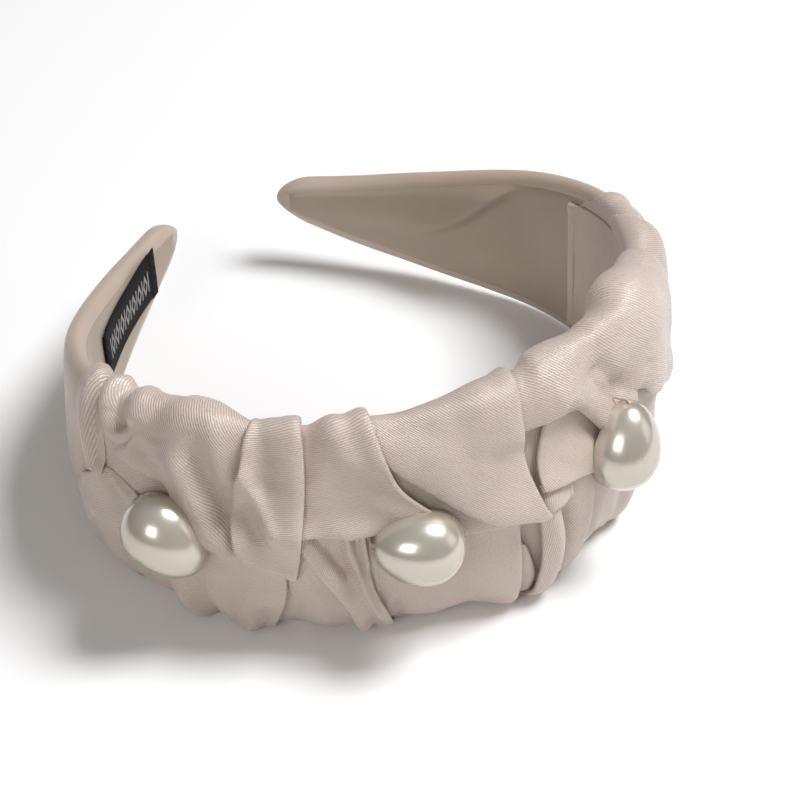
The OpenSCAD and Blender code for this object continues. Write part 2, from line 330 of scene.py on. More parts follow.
def satin_material(name, light, dark, rough, twill, bump, sheen, pitch=0.55):
    """Satin with a diagonal twill: lines from the cloth's own coordinates, a slow change of colour, and a fine slub."""
    m, nt, b = new_mat(name)
    at = node(nt, "ShaderNodeAttribute", attribute_name="weave")
    sep = nt.nodes.new("ShaderNodeSeparateXYZ")
    nt.links.new(at.outputs["Vector"], sep.inputs[0])
    tc = nt.nodes.new("ShaderNodeTexCoord")
    slow = node(nt, "ShaderNodeTexNoise", Scale=34.0, Detail=3.0, Roughness=0.55)
    nt.links.new(tc.outputs["Object"], slow.inputs["Vector"])
    fine = node(nt, "ShaderNodeTexNoise", Scale=2.2, Detail=2.0, Roughness=0.6)
    nt.links.new(at.outputs["Vector"], fine.inputs["Vector"])
    # twill ribs run along x of the cloth's coordinates; the slub bends them a little
    wob = math_node(nt, "MULTIPLY", fine.outputs["Fac"], 0.35)
    y = math_node(nt, "ADD", sep.outputs["Y"], wob)
    rib = math_node(nt, "SINE", math_node(nt, "MULTIPLY", y, 2 * math.pi / pitch))
    cross = math_node(nt, "SINE", math_node(nt, "MULTIPLY", sep.outputs["X"], 2 * math.pi / (pitch * 0.8)))
    rib01 = math_node(nt, "MULTIPLY_ADD", rib, 0.5, 0.5)
    wv = math_node(nt, "MULTIPLY_ADD", cross, 0.16, rib01)
    mix1 = node(nt, "ShaderNodeMix", data_type="RGBA")
    mix1.inputs["A"].default_value = (*dark, 1)
    mix1.inputs["B"].default_value = (*light, 1)
    ramp = node(nt, "ShaderNodeMapRange")
    ramp.inputs["From Min"].default_value = 0.3
    ramp.inputs["From Max"].default_value = 0.7
    nt.links.new(slow.outputs["Fac"], ramp.inputs["Value"])
    shade = math_node(nt, "MULTIPLY_ADD", rib01, twill, math_node(nt, "MULTIPLY", ramp.outputs["Result"], 1 - twill))
    nt.links.new(shade, mix1.inputs["Factor"])
    nt.links.new(mix1.outputs["Result"], b.inputs["Base Color"])
    rr = math_node(nt, "MULTIPLY_ADD", rib01, -0.10, rough + 0.05)
    nt.links.new(rr, b.inputs["Roughness"])
    b.inputs["Specular IOR Level"].default_value = 0.65
    b.inputs["Sheen Weight"].default_value = sheen
    b.inputs["Sheen Roughness"].default_value = 0.45
    b.inputs["Sheen Tint"].default_value = (1.0, 0.93, 0.9, 1)
    bp = node(nt, "ShaderNodeBump", Strength=bump, Distance=0.00012)
    nt.links.new(wv, bp.inputs["Height"])
    nt.links.new(bp.outputs["Normal"], b.inputs["Normal"])
    return m


SATIN = satin_material("satin_twill", (0.735, 0.62, 0.555), (0.40, 0.315, 0.265), 0.35, 0.68, 0.6, 0.10, 0.43)
SLEEVE = satin_material("satin_sleeve", (0.54, 0.435, 0.36), (0.44, 0.35, 0.28), 0.42, 0.30, 0.2, 0.12, 0.46)
# the arms' inner faces are the same satin as the rest; this darker copy of it is painted shade for the shade those
# faces stand in
LINING_SATIN_PAINTED_SHADE = satin_material("satin_lining", (0.40, 0.322, 0.25), (0.32, 0.256, 0.192), 0.46, 0.30, 0.2, 0.12, 0.46)


def pearl_material():
    m, nt, b = new_mat("pearl_coat")
    tc = nt.nodes.new("ShaderNodeTexCoord")
    n1 = node(nt, "ShaderNodeTexNoise", Scale=90.0, Detail=3.0, Roughness=0.5)
    nt.links.new(tc.outputs["Object"], n1.inputs["Vector"])
    # the rims are mixed towards dark brown by the facing term: painted shade, a painted reflection of darker
    # surroundings; the noise adds real random tone
    rim_painted_shade = node(nt, "ShaderNodeLayerWeight", Blend=0.42)
    mix = node(nt, "ShaderNodeMix", data_type="RGBA")
    mix.inputs["A"].default_value = (0.74, 0.69, 0.60, 1)
    mix.inputs["B"].default_value = (0.34, 0.28, 0.20, 1)
    fac = math_node(nt, "MULTIPLY_ADD", n1.outputs["Fac"], 0.22, math_node(nt, "MULTIPLY", rim_painted_shade.outputs["Facing"], 0.8))
    nt.links.new(fac, mix.inputs["Factor"])
    nt.links.new(mix.outputs["Result"], b.inputs["Base Color"])
    b.inputs["Metallic"].default_value = 0.55
    b.inputs["Specular IOR Level"].default_value = 0.6
    b.inputs["Coat Weight"].default_value = 1.0
    b.inputs["Coat Roughness"].default_value = 0.13
    b.inputs["Coat IOR"].default_value = 1.55
    rr = math_node(nt, "MULTIPLY_ADD", n1.outputs["Fac"], 0.10, 0.20)
    nt.links.new(rr, b.inputs["Roughness"])
    n2 = node(nt, "ShaderNodeTexNoise", Scale=420.0, Detail=2.0)
    nt.links.new(tc.outputs["Object"], n2.inputs["Vector"])
    bp = node(nt, "ShaderNodeBump", Strength=0.06, Distance=0.0001)
    nt.links.new(n2.outputs["Fac"], bp.inputs["Height"])
    nt.links.new(bp.outputs["Normal"], b.inputs["Normal"])
    return m


def label_material():
    """Black woven tape with a plain row of light lozenges and dashes."""
    m, nt, b = new_mat("label_weave")
    at = node(nt, "ShaderNodeAttribute", attribute_name="weave")
    sep = nt.nodes.new("ShaderNodeSeparateXYZ")
    nt.links.new(at.outputs["Vector"], sep.inputs[0])
    x, y = sep.outputs["X"], sep.outputs["Y"]
    # lozenges every 5 mm along the middle, with a short dash between them
    fx = math_node(nt, "ABSOLUTE", math_node(nt, "SUBTRACT", math_node(nt, "FRACT", math_node(nt, "MULTIPLY_ADD", x, 0.25, 0.5)), 0.5))
    d1 = math_node(nt, "ADD", math_node(nt, "MULTIPLY", fx, 4 / 1.45), math_node(nt, "MULTIPLY", math_node(nt, "ABSOLUTE", y), 1 / 3.3))
    loz = math_node(nt, "MULTIPLY", math_node(nt, "LESS_THAN", d1, 1.0), math_node(nt, "GREATER_THAN", d1, 0.5))
    fx2 = math_node(nt, "ABSOLUTE", math_node(nt, "SUBTRACT", math_node(nt, "FRACT", math_node(nt, "MULTIPLY", x, 0.25)), 0.5))
    dash = math_node(nt, "MULTIPLY", math_node(nt, "LESS_THAN", fx2, 0.07), math_node(nt, "LESS_THAN", math_node(nt, "ABSOLUTE", y), 3.0))
    motif = math_node(nt, "MAXIMUM", loz, dash)
    inside = math_node(nt, "LESS_THAN", math_node(nt, "ABSOLUTE", x), 14.6)
    motif = math_node(nt, "MULTIPLY", motif, inside)
    rib = math_node(nt, "SINE", math_node(nt, "MULTIPLY", y, 2 * math.pi / 0.42))
    warp = math_node(nt, "SINE", math_node(nt, "MULTIPLY", x, 2 * math.pi / 0.34))
    wv = math_node(nt, "MULTIPLY_ADD", math_node(nt, "MULTIPLY", rib, warp), 0.5, 0.5)
    mix = node(nt, "ShaderNodeMix", data_type="RGBA")
    mix.inputs["A"].default_value = (0.006, 0.006, 0.008, 1)
    mix.inputs["B"].default_value = (0.46, 0.45, 0.44, 1)
    f = math_node(nt, "MULTIPLY_ADD", motif, math_node(nt, "MULTIPLY_ADD", wv, 0.5, 0.45), math_node(nt, "MULTIPLY", wv, 0.02))
    nt.links.new(f, mix.inputs["Factor"])
    nt.links.new(mix.outputs["Result"], b.inputs["Base Color"])
    b.inputs["Roughness"].default_value = 0.75
    b.inputs["Specular IOR Level"].default_value = 0.15
    bp = node(nt, "ShaderNodeBump", Strength=0.7, Distance=0.0001)
    nt.links.new(math_node(nt, "ADD", wv, motif), bp.inputs["Height"])
    nt.links.new(bp.outputs["Normal"], b.inputs["Normal"])
    return m


def simple_material(name, c1, c2, scale, rough, bump, dist=0.0002, spec=0.4):
    m, nt, b = new_mat(name)
    tc = nt.nodes.new("ShaderNodeTexCoord")
    n1 = node(nt, "ShaderNodeTexNoise", Scale=scale, Detail=4.0, Roughness=0.6)
    nt.links.new(tc.outputs["Object"], n1.inputs["Vector"])
    mix = node(nt, "ShaderNodeMix", data_type="RGBA")
    mix.inputs["A"].default_value = (*c1, 1)
    mix.inputs["B"].default_value = (*c2, 1)
    nt.links.new(n1.outputs["Fac"], mix.inputs["Factor"])
    nt.links.new(mix.outputs["Result"], b.inputs["Base Color"])
    b.inputs["Roughness"].default_value = rough
    b.inputs["Specular IOR Level"].default_value = spec
    bp = node(nt, "ShaderNodeBump", Strength=bump, Distance=dist)
    nt.links.new(n1.outputs["Fac"], bp.inputs["Height"])
    nt.links.new(bp.outputs["Normal"], b.inputs["Normal"])
    return m


PEARL = pearl_material()
LABEL = label_material()
FOAM = simple_material("foam_cells", (0.80, 0.78, 0.72), (0.88, 0.86, 0.81), 1400.0, 0.9, 0.6)
PLASTIC = simple_material("hoop_strip", (0.035, 0.035, 0.036), (0.05, 0.05, 0.05), 500.0, 0.55, 0.1)
THREAD = simple_material("thread_twist", (0.50, 0.41, 0.35), (0.60, 0.50, 0.44), 2600.0, 0.6, 0.5)
STITCH = simple_material("stitch_thread", (0.012, 0.012, 0.014), (0.03, 0.03, 0.032), 2600.0, 0.6, 0.5)

# ------------------------------------------------------------------ the pleated wrap
DU = 0.5
UG = np.arange(-116, 122.01, DU)
SG = np.arange(-54, 54.01, DU)
RIM_TOP = np.array([(-100, 0), (-96, 0.6), (-94, 0.2), (-88, 0.6), (-82, 1.6), (-76, 1.6), (-70, 2.8), (-65, 3.9), (-61, 3.6), (-57, 1.6), (-54, 0.1), (-50, 0.0), (-44, 0),
                    (-34, 0.2), (-30, 0.8), (-26, 0.3), (-20, 0.2), (-14, 0.4), (-9, 1.2), (-4, 1.4), (1, 1.0), (5, 0.8), (10, 2.0), (15, 2.6), (22, 3.2), (30, 4.4), (40, 4.6),
                    (50, 4.2), (58, 2.6), (66, 2.4), (74, 2.2), (84, 1.8), (94, 1.2), (104, 0.3), (110, 0)], float)
RIM_LOW = np.array([(-100, 0.4), (-90, 0.0), (-78, -0.6), (-68, -1.0), (-60, -0.8), (-52, -0.9), (-46, -1.4), (-38, -1.8), (-30, -1.8), (-24, -1.4), (-18, -1.0), (-10, -1.0), (0, -1.6), (6, -1.4),
                    (12, -0.6), (20, -0.4), (40, -0.3), (60, -0.2), (80, 0.1), (100, 0.2), (110, 0)], float)
S_RIM = float(s_of(0.8))
S_LIP = float(s_of(1.0))


def base_field(U, S):
    t = np.abs(t_of(S))
    b = -2.1 * (1 - ease((t - 0.68) / 0.32)) + 0.05
    d = np.abs(S) - float(s_of(0.84))
    w = np.where(d > 0, 3.6, 9.0)
    puff = np.where(S > 0, np.interp(U, RIM_TOP[:, 0], RIM_TOP[:, 1]), np.interp(U, RIM_LOW[:, 0], RIM_LOW[:, 1]))
    b = b - 3.2 * ease((U - 46) / 15) * (1 - ease((np.where(S > 0, t, -0.2) - 0.22) / 0.42)) * (1 - ease((t - 0.66) / 0.34))
    return b + puff * np.exp(-((d / w) ** 2))


UU, SSG = np.meshgrid(UG, SG, indexing="ij")
STACK = base_field(UU, SSG)
BASE = STACK.copy()


def blur(a, k=2):
    x = np.arange(-3 * k, 3 * k + 1)
    g = np.exp(-(x**2) / (2.0 * k * k))
    g /= g.sum()
    for ax in (0, 1):
        pad = [(0, 0), (0, 0)]
        pad[ax] = (3 * k, 3 * k)
        p = np.pad(a, pad, mode="edge")
        a = sum(w * np.take(p, np.arange(i, i + a.shape[ax]), axis=ax) for i, w in enumerate(g))
    return a


def dilate(a, n=2):
    for _ in range(n):
        p = np.pad(a, 1, mode="edge")
        a = np.max([p[1 + i: 1 + i + a.shape[0], 1 + j: 1 + j + a.shape[1]] for i in (-1, 0, 1) for j in (-1, 0, 1)], axis=0)
    return a


def sample(F, U, S):
    x = np.clip((U - UG[0]) / DU, 0, len(UG) - 1.001)
    y = np.clip((S - SG[0]) / DU, 0, len(SG) - 1.001)
    i, j = x.astype(int), y.astype(int)
    a, b = x - i, y - j
    return F[i, j] * (1 - a) * (1 - b) + F[i + 1, j] * a * (1 - b) + F[i, j + 1] * (1 - a) * b + F[i + 1, j + 1] * a * b


def ut(pts):
    p = np.asarray(pts, float)
    return np.stack([p[:, 0], s_of(p[:, 1])], -1)


CLOTH = 0.3


def press(U, S, H):
    """The stack is pressed flat where it turns in over the edges, sooner along the lower one."""
    t = np.abs(t_of(S))
    b = base_field(U, S)
    g = np.where(S < 0, 1 - 0.55 * ease((t - 0.5) / 0.32), 1.0) * (1 - 0.78 * ease((t - 0.87) / 0.2))
    return b + (H - b) * g



def panel(name, nodes, L, R_, B, T, fold="", r=1.0, puff=0.8, ridges=(), grain=45.0, twill=45.0, wrinkle=0.25, seed=1, lam=4.5, step=0.85):
    """One fold of the wrap: a sheet between four edge curves in (u, t), draped over what is stacked so far.
    fold names the sides whose edge is turned under, r is the fold's radius, one number or one for each side."""
    global STACK
    L, R_, B, T = ut(L), ut(R_), ut(B), ut(T)
    B = np.vstack([L[:1], B[1:-1], R_[:1]])
    T = np.vstack([L[-1:], T[1:-1], R_[-1:]])
    n = int(max(length(crv(B, 60)), length(crv(T, 60))) / step) + 4
    m = int(max(length(crv(L, 60)), length(crv(R_, 60))) / step) + 4
    Lc, Rc, Bc, Tc = crv(L, m), crv(R_, m), crv(B, n), crv(T, n)
    a = np.linspace(0, 1, n)[:, None, None]
    b = np.linspace(0, 1, m)[None, :, None]
    G = (1 - a) * Lc[None] + a * Rc[None] + (1 - b) * Bc[:, None] + b * Tc[:, None] - ((1 - a) * (1 - b) * L[0] + a * (1 - b) * R_[0] + (1 - a) * b * L[-1] + a * b * R_[-1])
    U, S = G[..., 0], G[..., 1]
    smooth_stack = np.maximum(blur(dilate(STACK, 3), 3), blur(STACK, 1))
    tb = np.abs(t_of(S))
    soft = 1 - 0.8 * ease((tb - 0.86) / 0.2)            # folds are pressed flat inside the lip
    h = sample(smooth_stack, U, S) + CLOTH + 0.08
    rad = {k: (r[k] if isinstance(r, dict) else r) for k in fold}
    side = {"L": Lc, "R": Rc, "B": Bc, "T": Tc}
    lines, prof = {}, {}
    for k in fold:
        line = side[k]
        w = np.linspace(0, 1, len(line))
        rr = rad[k]
        rr = np.interp(w, np.linspace(0, 1, len(rr)), rr) if isinstance(rr, (tuple, list)) else np.full(len(line), float(rr))
        lo = {"L": "B", "R": "B", "B": "L", "T": "L"}[k] in fold
        hi = {"L": "T", "R": "T", "B": "R", "T": "R"}[k] in fold
        rr = rr * (ease(w / 0.1 + 0.25) if lo else 1) * (ease((1 - w) / 0.1 + 0.25) if hi else 1)
        te = np.abs(t_of(line[:, 1]))
        rr = rr * (1 - 0.72 * ease((te - 0.86) / 0.2))
        prof[k] = rr
        d, at = dist_poly(U, S, line)
        rise = 2 * np.interp(at, w, rr)
        h = h + rise * np.exp(-((d / (lam + rise)) ** 2)) * 0.92
    P = (np.sin(np.pi * np.linspace(0, 1, n)) ** 0.6)[:, None] * (np.sin(np.pi * np.linspace(0, 1, m)) ** 0.6)[None]
    h = h + puff * P * soft
    rng = np.random.RandomState(seed)
    g = math.radians(grain)
    x = U * math.cos(g) + S * math.sin(g)
    y = -U * math.sin(g) + S * math.cos(g)
    wr = 0
    for k in range(5):
        wl = rng.uniform(7, 17)
        wr = wr + np.sin(2 * np.pi * (y / wl + 0.35 * np.sin(2 * np.pi * x / rng.uniform(30, 60) + rng.uniform(0, 6))) + rng.uniform(0, 6.28)) * wl / 60
    h = h + wrinkle * wr * P * soft
    for rd in ridges:
        line = crv(ut(rd[0]), 40)
        d, at = dist_poly(U, S, line)
        amp, wd = rd[1], rd[2]
        ends = ease(at / 0.25 + (0.0 if len(rd) < 4 or "a" not in rd[3] else 1)) * ease((1 - at) / 0.25 + (0.0 if len(rd) < 4 or "b" not in rd[3] else 1))
        sharp = 2.0 if len(rd) < 4 or "s" not in rd[3] else 1.15
        h = h + amp * ends * np.exp(-((d / wd) ** sharp)) * soft
    low = sample(np.maximum(blur(dilate(STACK, 2), 2), blur(STACK, 1)), U, S) + 0.16
    h = low + np.where(h > low, h - low, 0.0)
    # turned edges
    H = h.copy()
    W = G.copy()

    def turn(G, H, W, k, rr, rest):
        ax = 0 if k in "LR" else 1
        end = -1 if k in "RT" else 0
        step = -2 if k in "RT" else 1
        e = np.take(G, end, axis=ax)
        p = np.take(G, step, axis=ax)
        he = np.take(H, end, axis=ax)
        we = np.take(W, end, axis=ax)
        d = e - p
        d /= np.maximum(np.linalg.norm(d, axis=-1, keepdims=True), 1e-9)
        for _ in range(3):
            d[1:-1] = (d[:-2] + 2 * d[1:-1] + d[2:]) / 4
            d /= np.maximum(np.linalg.norm(d, axis=-1, keepdims=True), 1e-9)
        gs, hs, ws = [], [], []
        rows_in = [(-1 - q if end == -1 else q) for q in (1, 2)]
        for ph in (0.18, 0.36, 0.54, 0.72, 0.9, 1.0):
            f = ph * np.pi
            gs.append(e + d * (rr * np.sin(f))[:, None])
            hs.append(he - rr * (1 - np.cos(f)))
            ws.append(we + d * (rr * f)[:, None])
        for q in rows_in:
            gi, hi_ = np.take(G, q, axis=ax), np.take(H, q, axis=ax)
            gs.append(gi)
            hs.append(np.minimum(he - 2 * rr, hi_ - 0.65))
            ws.append(we + d * (rr * np.pi + np.linalg.norm(gi - e, axis=-1))[:, None])
        if end == -1:
            cat = lambda a, bs: np.concatenate([a] + [np.expand_dims(z, ax) for z in bs], axis=ax)
        else:
            cat = lambda a, bs: np.concatenate([np.expand_dims(z, ax) for z in reversed(bs)] + [a], axis=ax)
        return cat(G, gs), cat(H, hs), cat(W, ws)

    top_parts = [(G, H)]
    for k in "LRBT":
        if k not in fold:
            continue
        rr = prof[k]
        ax = 0 if k in "LR" else 1
        nn = G.shape[1 - ax]
        if nn != len(rr):      # the grid has grown by the other sides' turned rows
            lo = 8 if (k in "BT" and "L" in fold) else 0
            hi = 8 if (k in "BT" and "R" in fold) else 0
            rr = np.concatenate([np.full(lo, rr[0] * 0.5), rr, np.full(hi, rr[-1] * 0.5)])
        G, H, W = turn(G, H, W, k, np.maximum(rr, 0.12), None)
    X = skin(G[..., 0], G[..., 1], press(G[..., 0], G[..., 1], H))
    # add what now lies on top to the stack
    gu, gh = G, H
    F = STACK.copy()
    for fa in np.linspace(0, 1, 4):
        for fb in np.linspace(0, 1, 4):
            g2 = (gu[:-1, :-1] * ((1 - fa) * (1 - fb)) + gu[1:, :-1] * (fa * (1 - fb)) + gu[:-1, 1:] * ((1 - fa) * fb) + gu[1:, 1:] * (fa * fb))
            h2 = (gh[:-1, :-1] * ((1 - fa) * (1 - fb)) + gh[1:, :-1] * (fa * (1 - fb)) + gh[:-1, 1:] * ((1 - fa) * fb) + gh[1:, 1:] * (fa * fb))
            i = np.clip(np.round((g2[..., 0] - UG[0]) / DU).astype(int), 0, len(UG) - 1)
            j = np.clip(np.round((g2[..., 1] - SG[0]) / DU).astype(int), 0, len(SG) - 1)
            np.maximum.at(F, (i, j), h2)
    STACK = F
    tw = math.radians(twill)
    wc = np.stack([W[..., 0] * math.cos(tw) + W[..., 1] * math.sin(tw), -W[..., 0] * math.sin(tw) + W[..., 1] * math.cos(tw)], -1).reshape(-1, 2)
    v, f = closed_sheet(X, CLOTH)
    o = mesh_object(name, row(v), f, SATIN, np.concatenate([wc, wc]))
    flat_w, flat_l = max(length(crv(B, 60)), length(crv(T, 60))), max(length(crv(L, 60)), length(crv(R_, 60)))
    ar = area_of(X)
    k = math.sqrt(ar / (flat_w * flat_l))
    fw, fl = flat_w * k / 1000, flat_l * k / 1000
    if fw < 0.0102:
        fw, fl = 0.0102, fl * fw / 0.0102
    if nodes:
        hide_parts(*nodes)
    WRAP.append(o)
    return o


WRAP = []
IN = 1.13     # how far the wrap turns in over the edges
# --- lower row, from the right end to the left end
panel("fold_lower_9", ["lower_pleat_9"], [(60, -IN), (59, -0.8), (57, -0.4), (52, 0.5)], [(104, -IN), (104, -0.8), (105, -0.5), (104, 0.1), (100, 0.4)], [(60, -IN), (104, -IN)], [(52, 0.5), (100, 0.4)],
      fold="R", r=0.9, puff=0.5, ridges=[([(72, 0.1), (78, -0.3), (84, -0.8)], 0.7, 3.0, "b"), ([(84, 0.1), (88, -0.2), (97, -0.8)], -1.0, 1.8, "b"), ([(92, 0.1), (96, -0.3), (101, -0.7)], 0.5, 2.4)], twill=-50, seed=9)
panel("fold_lower_8", ["lower_pleat_8"], [(34, -IN), (34, -0.8), (31, -0.4), (28, 0.3)], [(67, -IN), (67, -0.8), (65, -0.45), (62, 0.0), (61, 0.35)], [(34, -IN), (67, -IN)], [(28, 0.3), (61, 0.35)],
      fold="R", r=(1.0, 0.9, 0.6, 0.3, 0.2), puff=0.6, ridges=[([(44, 0.1), (48, -0.3), (50, -0.8)], 0.9, 3.0, "b"), ([(52, 0.1), (56, -0.3), (58, -0.75)], -1.1, 1.7, "b")], twill=40, seed=8)
panel("fold_lower_7", ["lower_pleat_7"], [(13, -IN), (14, -0.8), (15, -0.4), (16, 0.2)], [(40, -IN), (40, -0.8), (38.5, -0.45), (36, 0.0), (36, 0.25)], [(13, -IN), (40, -IN)], [(16, 0.2), (36, 0.25)],
      fold="R", r=0.9, puff=0.6, ridges=[([(25, 0.0), (24.5, -0.4), (23, -0.8)], 0.5, 2.5, "b"), ([(31, 0.0), (33, -0.4), (34, -0.8)], -0.8, 1.6, "b")], twill=48, seed=7)
panel("fold_lower_6", ["lower_pleat_6"], [(5, -IN), (5, -0.8), (6, -0.4), (5, 0.14)], [(16.5, -IN), (16.8, -0.85), (18.4, -0.42), (19.4, -0.18), (19.8, 0.14)], [(5, -IN), (16.5, -IN)], [(5, 0.14), (19.8, 0.14)],
      fold="R", r=(1.0, 1.1, 0.7), puff=0.7, ridges=[([(15.8, 0.0), (15.0, -0.25), (13.5, -0.6)], 0.5, 2.0, "b"), ([(12.2, 0.04), (11.4, -0.3), (10, -0.7)], -0.5, 1.6)], twill=-58, seed=6)
panel("fold_lower_5_ground", [], [(-6, -IN), (-5, -0.8), (-4, -0.3), (-3, 0.1)], [(12, -IN), (12, -0.8), (12, -0.3), (11, 0.1)], [(-6, -IN), (12, -IN)], [(-3, 0.1), (11, 0.1)],
      fold="", r=0.8, puff=0.0, ridges=[([(2.5, 0.05), (2.2, -0.3), (2, -0.7)], -0.8, 2.6, "ab")], twill=60, wrinkle=0.05, seed=5)
panel("fold_lower_5_inner", [], [(-2.5, -IN), (-2, -0.8), (-0.5, -0.5), (0.6, -0.14)], [(2.6, -IN), (3.2, -0.85), (5.2, -0.6), (5.5, -0.42), (4.3, -0.30), (2.4, -0.17)], [(-2.5, -IN), (2.6, -IN)], [(0.6, -0.14), (2.4, -0.17)],
      fold="R", r=0.7, puff=0.5, twill=65, wrinkle=0.05, seed=15, lam=2.0)
panel("fold_lower_5", ["lower_pleat_5"], [(4.2, -IN), (4.8, -0.8), (6.2, -0.5), (6.9, -0.25), (6.4, -0.08), (6.0, 0.03)], [(8.6, -IN), (9.0, -0.8), (9.9, -0.5), (10.4, -0.25), (9.6, -0.08), (8.2, 0.04)], [(4.2, -IN), (8.6, -IN)], [(6.0, 0.03), (8.2, 0.04)],
      fold="LR", r=(0.35, 0.6, 0.85, 0.85, 0.7), puff=0.4, twill=80, wrinkle=0.05, seed=16, lam=1.6)
panel("fold_lower_4", ["lower_pleat_4"], [(-33, -IN), (-32.5, -0.8), (-32, -0.4), (-33, 0.04)], [(-1.5, -IN), (-1.0, -0.85), (0.6, -0.6), (1.0, -0.46), (0.5, -0.3), (0.1, -0.16), (0.4, -0.0)],
      [(-33, -IN), (-1.5, -IN)], [(-33, 0.04), (-22, 0.08), (-15, 0.06), (-9.9, 0.02), (-5, 0.02), (0.4, 0.0)],
      fold="R", r=1.05, puff=0.9, ridges=[([(-12, 0.0), (-9, -0.3), (-8, -0.7)], -0.5, 3.0, "b"), ([(-25.5, -0.3), (-24.0, -0.5), (-22, -0.8)], -0.9, 1.3, "b"), ([(-19, -0.35), (-16, -0.6), (-14, -0.85)], 0.5, 2.5, "b")], twill=52, wrinkle=0.15, seed=4)
panel("fold_lower_2_ground", [], [(-56, -IN), (-56, -0.8), (-54, -0.1)], [(-42.5, -IN), (-42.6, -0.8), (-43, -0.1)], [(-56, -IN), (-42.5, -IN)], [(-54, -0.02), (-43, -0.02)],
      puff=0.0, ridges=[([(-46, -0.1), (-45.8, -0.4), (-46, -0.8)], -0.5, 2.5, "b")], twill=10, wrinkle=0.05, seed=21)
panel("fold_lower_3_ground", [], [(-42, -IN), (-42, -0.8), (-42, -0.4), (-44, 0.14)], [(-27, -IN), (-27, -0.8), (-28, -0.3), (-29, 0.14)], [(-42, -IN), (-27, -IN)], [(-44, 0.14), (-29, 0.14)],
      puff=0.0, ridges=[([(-38, 0.06), (-36, -0.05), (-33.5, -0.3)], -0.8, 1.8), ([(-32, 0.05), (-30.5, -0.1), (-29.5, -0.3)], -0.9, 1.6)], twill=30, wrinkle=0.05, seed=31)
panel("fold_lower_3", ["lower_pleat_3"], [(-53, -IN), (-53, -0.8), (-52, -0.5), (-50, -0.25), (-50, 0.0), (-50, 0.08)], [(-30.6, -IN), (-31.0, -0.8), (-31.8, -0.56), (-33.8, -0.32), (-36.6, -0.18), (-39.8, -0.06), (-42.6, 0.02), (-45, 0.07)],
      [(-53, -IN), (-30.6, -IN)], [(-50, 0.08), (-45, 0.07)], fold="R", r=(0.15, 0.2, 0.3, 0.3, 0.2), puff=0.3, ridges=[([(-42.5, -0.1), (-39.5, -0.35), (-38, -0.7)], 0.8, 2.6, "b"), ([(-46.5, -0.2), (-46.8, -0.5), (-47, -0.8)], -1.0, 2.6, "b")], twill=20, wrinkle=0.1, seed=33)
panel("fold_lower_3_right", [], [(-30.8, -IN), (-31.2, -0.8), (-32.0, -0.56), (-34.0, -0.32), (-36.8, -0.18), (-39.9, -0.06), (-42.4, 0.02), (-44.5, 0.08)], [(-24.2, -IN), (-24.8, -0.8), (-26.3, -0.47), (-27.5, -0.35), (-29.9, -0.18), (-30.5, -0.04), (-30.7, 0.04), (-31.0, 0.11)],
      [(-30.8, -IN), (-24.2, -IN)], [(-44.5, 0.08), (-40, 0.12), (-35.1, 0.13), (-31.0, 0.11)], fold="LR", r={"L": (0.1, 0.25, 0.8, 0.95, 0.85, 0.6), "R": (0.1, 0.25, 0.6, 0.7, 0.6, 0.4)}, puff=0.2,
      ridges=[([(-42.2, 0.09), (-40.4, 0.05), (-38.6, 0.0), (-36.6, -0.08), (-35.2, -0.18)], 0.5, 0.9, "a"), ([(-40.9, 0.08), (-39.4, 0.05), (-37.5, -0.01), (-36.2, -0.06), (-35.0, -0.12)], -1.5, 0.7, "a"),
              ([(-36.3, 0.08), (-36.1, 0.02), (-35.4, -0.05), (-34.0, -0.14)], -1.5, 0.75, "a"), ([(-34.6, 0.11), (-33.9, 0.06), (-33.6, 0.0), (-32.4, -0.08), (-31.0, -0.2), (-28.9, -0.34), (-27.5, -0.5)], 1.6, 1.1, "a"),
              ([(-32.3, 0.08), (-32.1, 0.0), (-31.3, -0.06), (-30.4, -0.14)], -1.1, 0.7, "a"), ([(-30.6, -0.36), (-29.6, -0.55), (-28.8, -0.8)], -0.9, 0.9, "b")], twill=62, wrinkle=0.04, seed=32, lam=1.1, step=0.42)
panel("fold_lower_1_ground", [], [(-92, -0.15), (-92, 0.2), (-91.5, 0.96)], [(-62, -0.15), (-62, 0.2), (-62, 0.96)], [(-92, -0.15), (-62, -0.15)], [(-91.5, 0.96), (-62, 0.96)],
      puff=0.0, ridges=[([(-86.5, 0.1), (-85, 0.3), (-84, 0.5)], -0.6, 1.6, "ab"), ([(-80, 0.1), (-76, 0.2), (-70, 0.26)], 0.5, 2.4)], twill=20, wrinkle=0.05, seed=10)
panel("fold_lower_1", ["lower_pleat_1"], [(-97.5, -IN), (-98, -0.8), (-98.5, -0.5), (-98, -0.2), (-97.3, -0.02)], [(-66, -IN), (-66, -0.8), (-66, -0.4), (-66, 0.05)], [(-97.5, -IN), (-66, -IN)],
      [(-97.3, -0.02), (-94, 0.03), (-90, 0.1), (-86.0, 0.175), (-81, 0.165), (-75, 0.12), (-66, 0.05)], fold="LT", r={"L": 1.1, "T": (0.9, 0.6, 0.35, 0.2)}, puff=1.2,
      ridges=[([(-85.6, 0.17), (-83.2, 0.1), (-80.9, 0.03), (-79.6, -0.04)], -1.5, 1.1, "as"), ([(-84.0, 0.19), (-81, 0.16), (-77.0, 0.12)], -1.3, 0.9, "as"), ([(-92, 0.0), (-88, -0.25), (-85, -0.6)], 0.8, 4.0), ([(-84, 0.05), (-82.4, -0.15), (-80, -0.4)], 0.7, 2.2)], twill=35, seed=11)
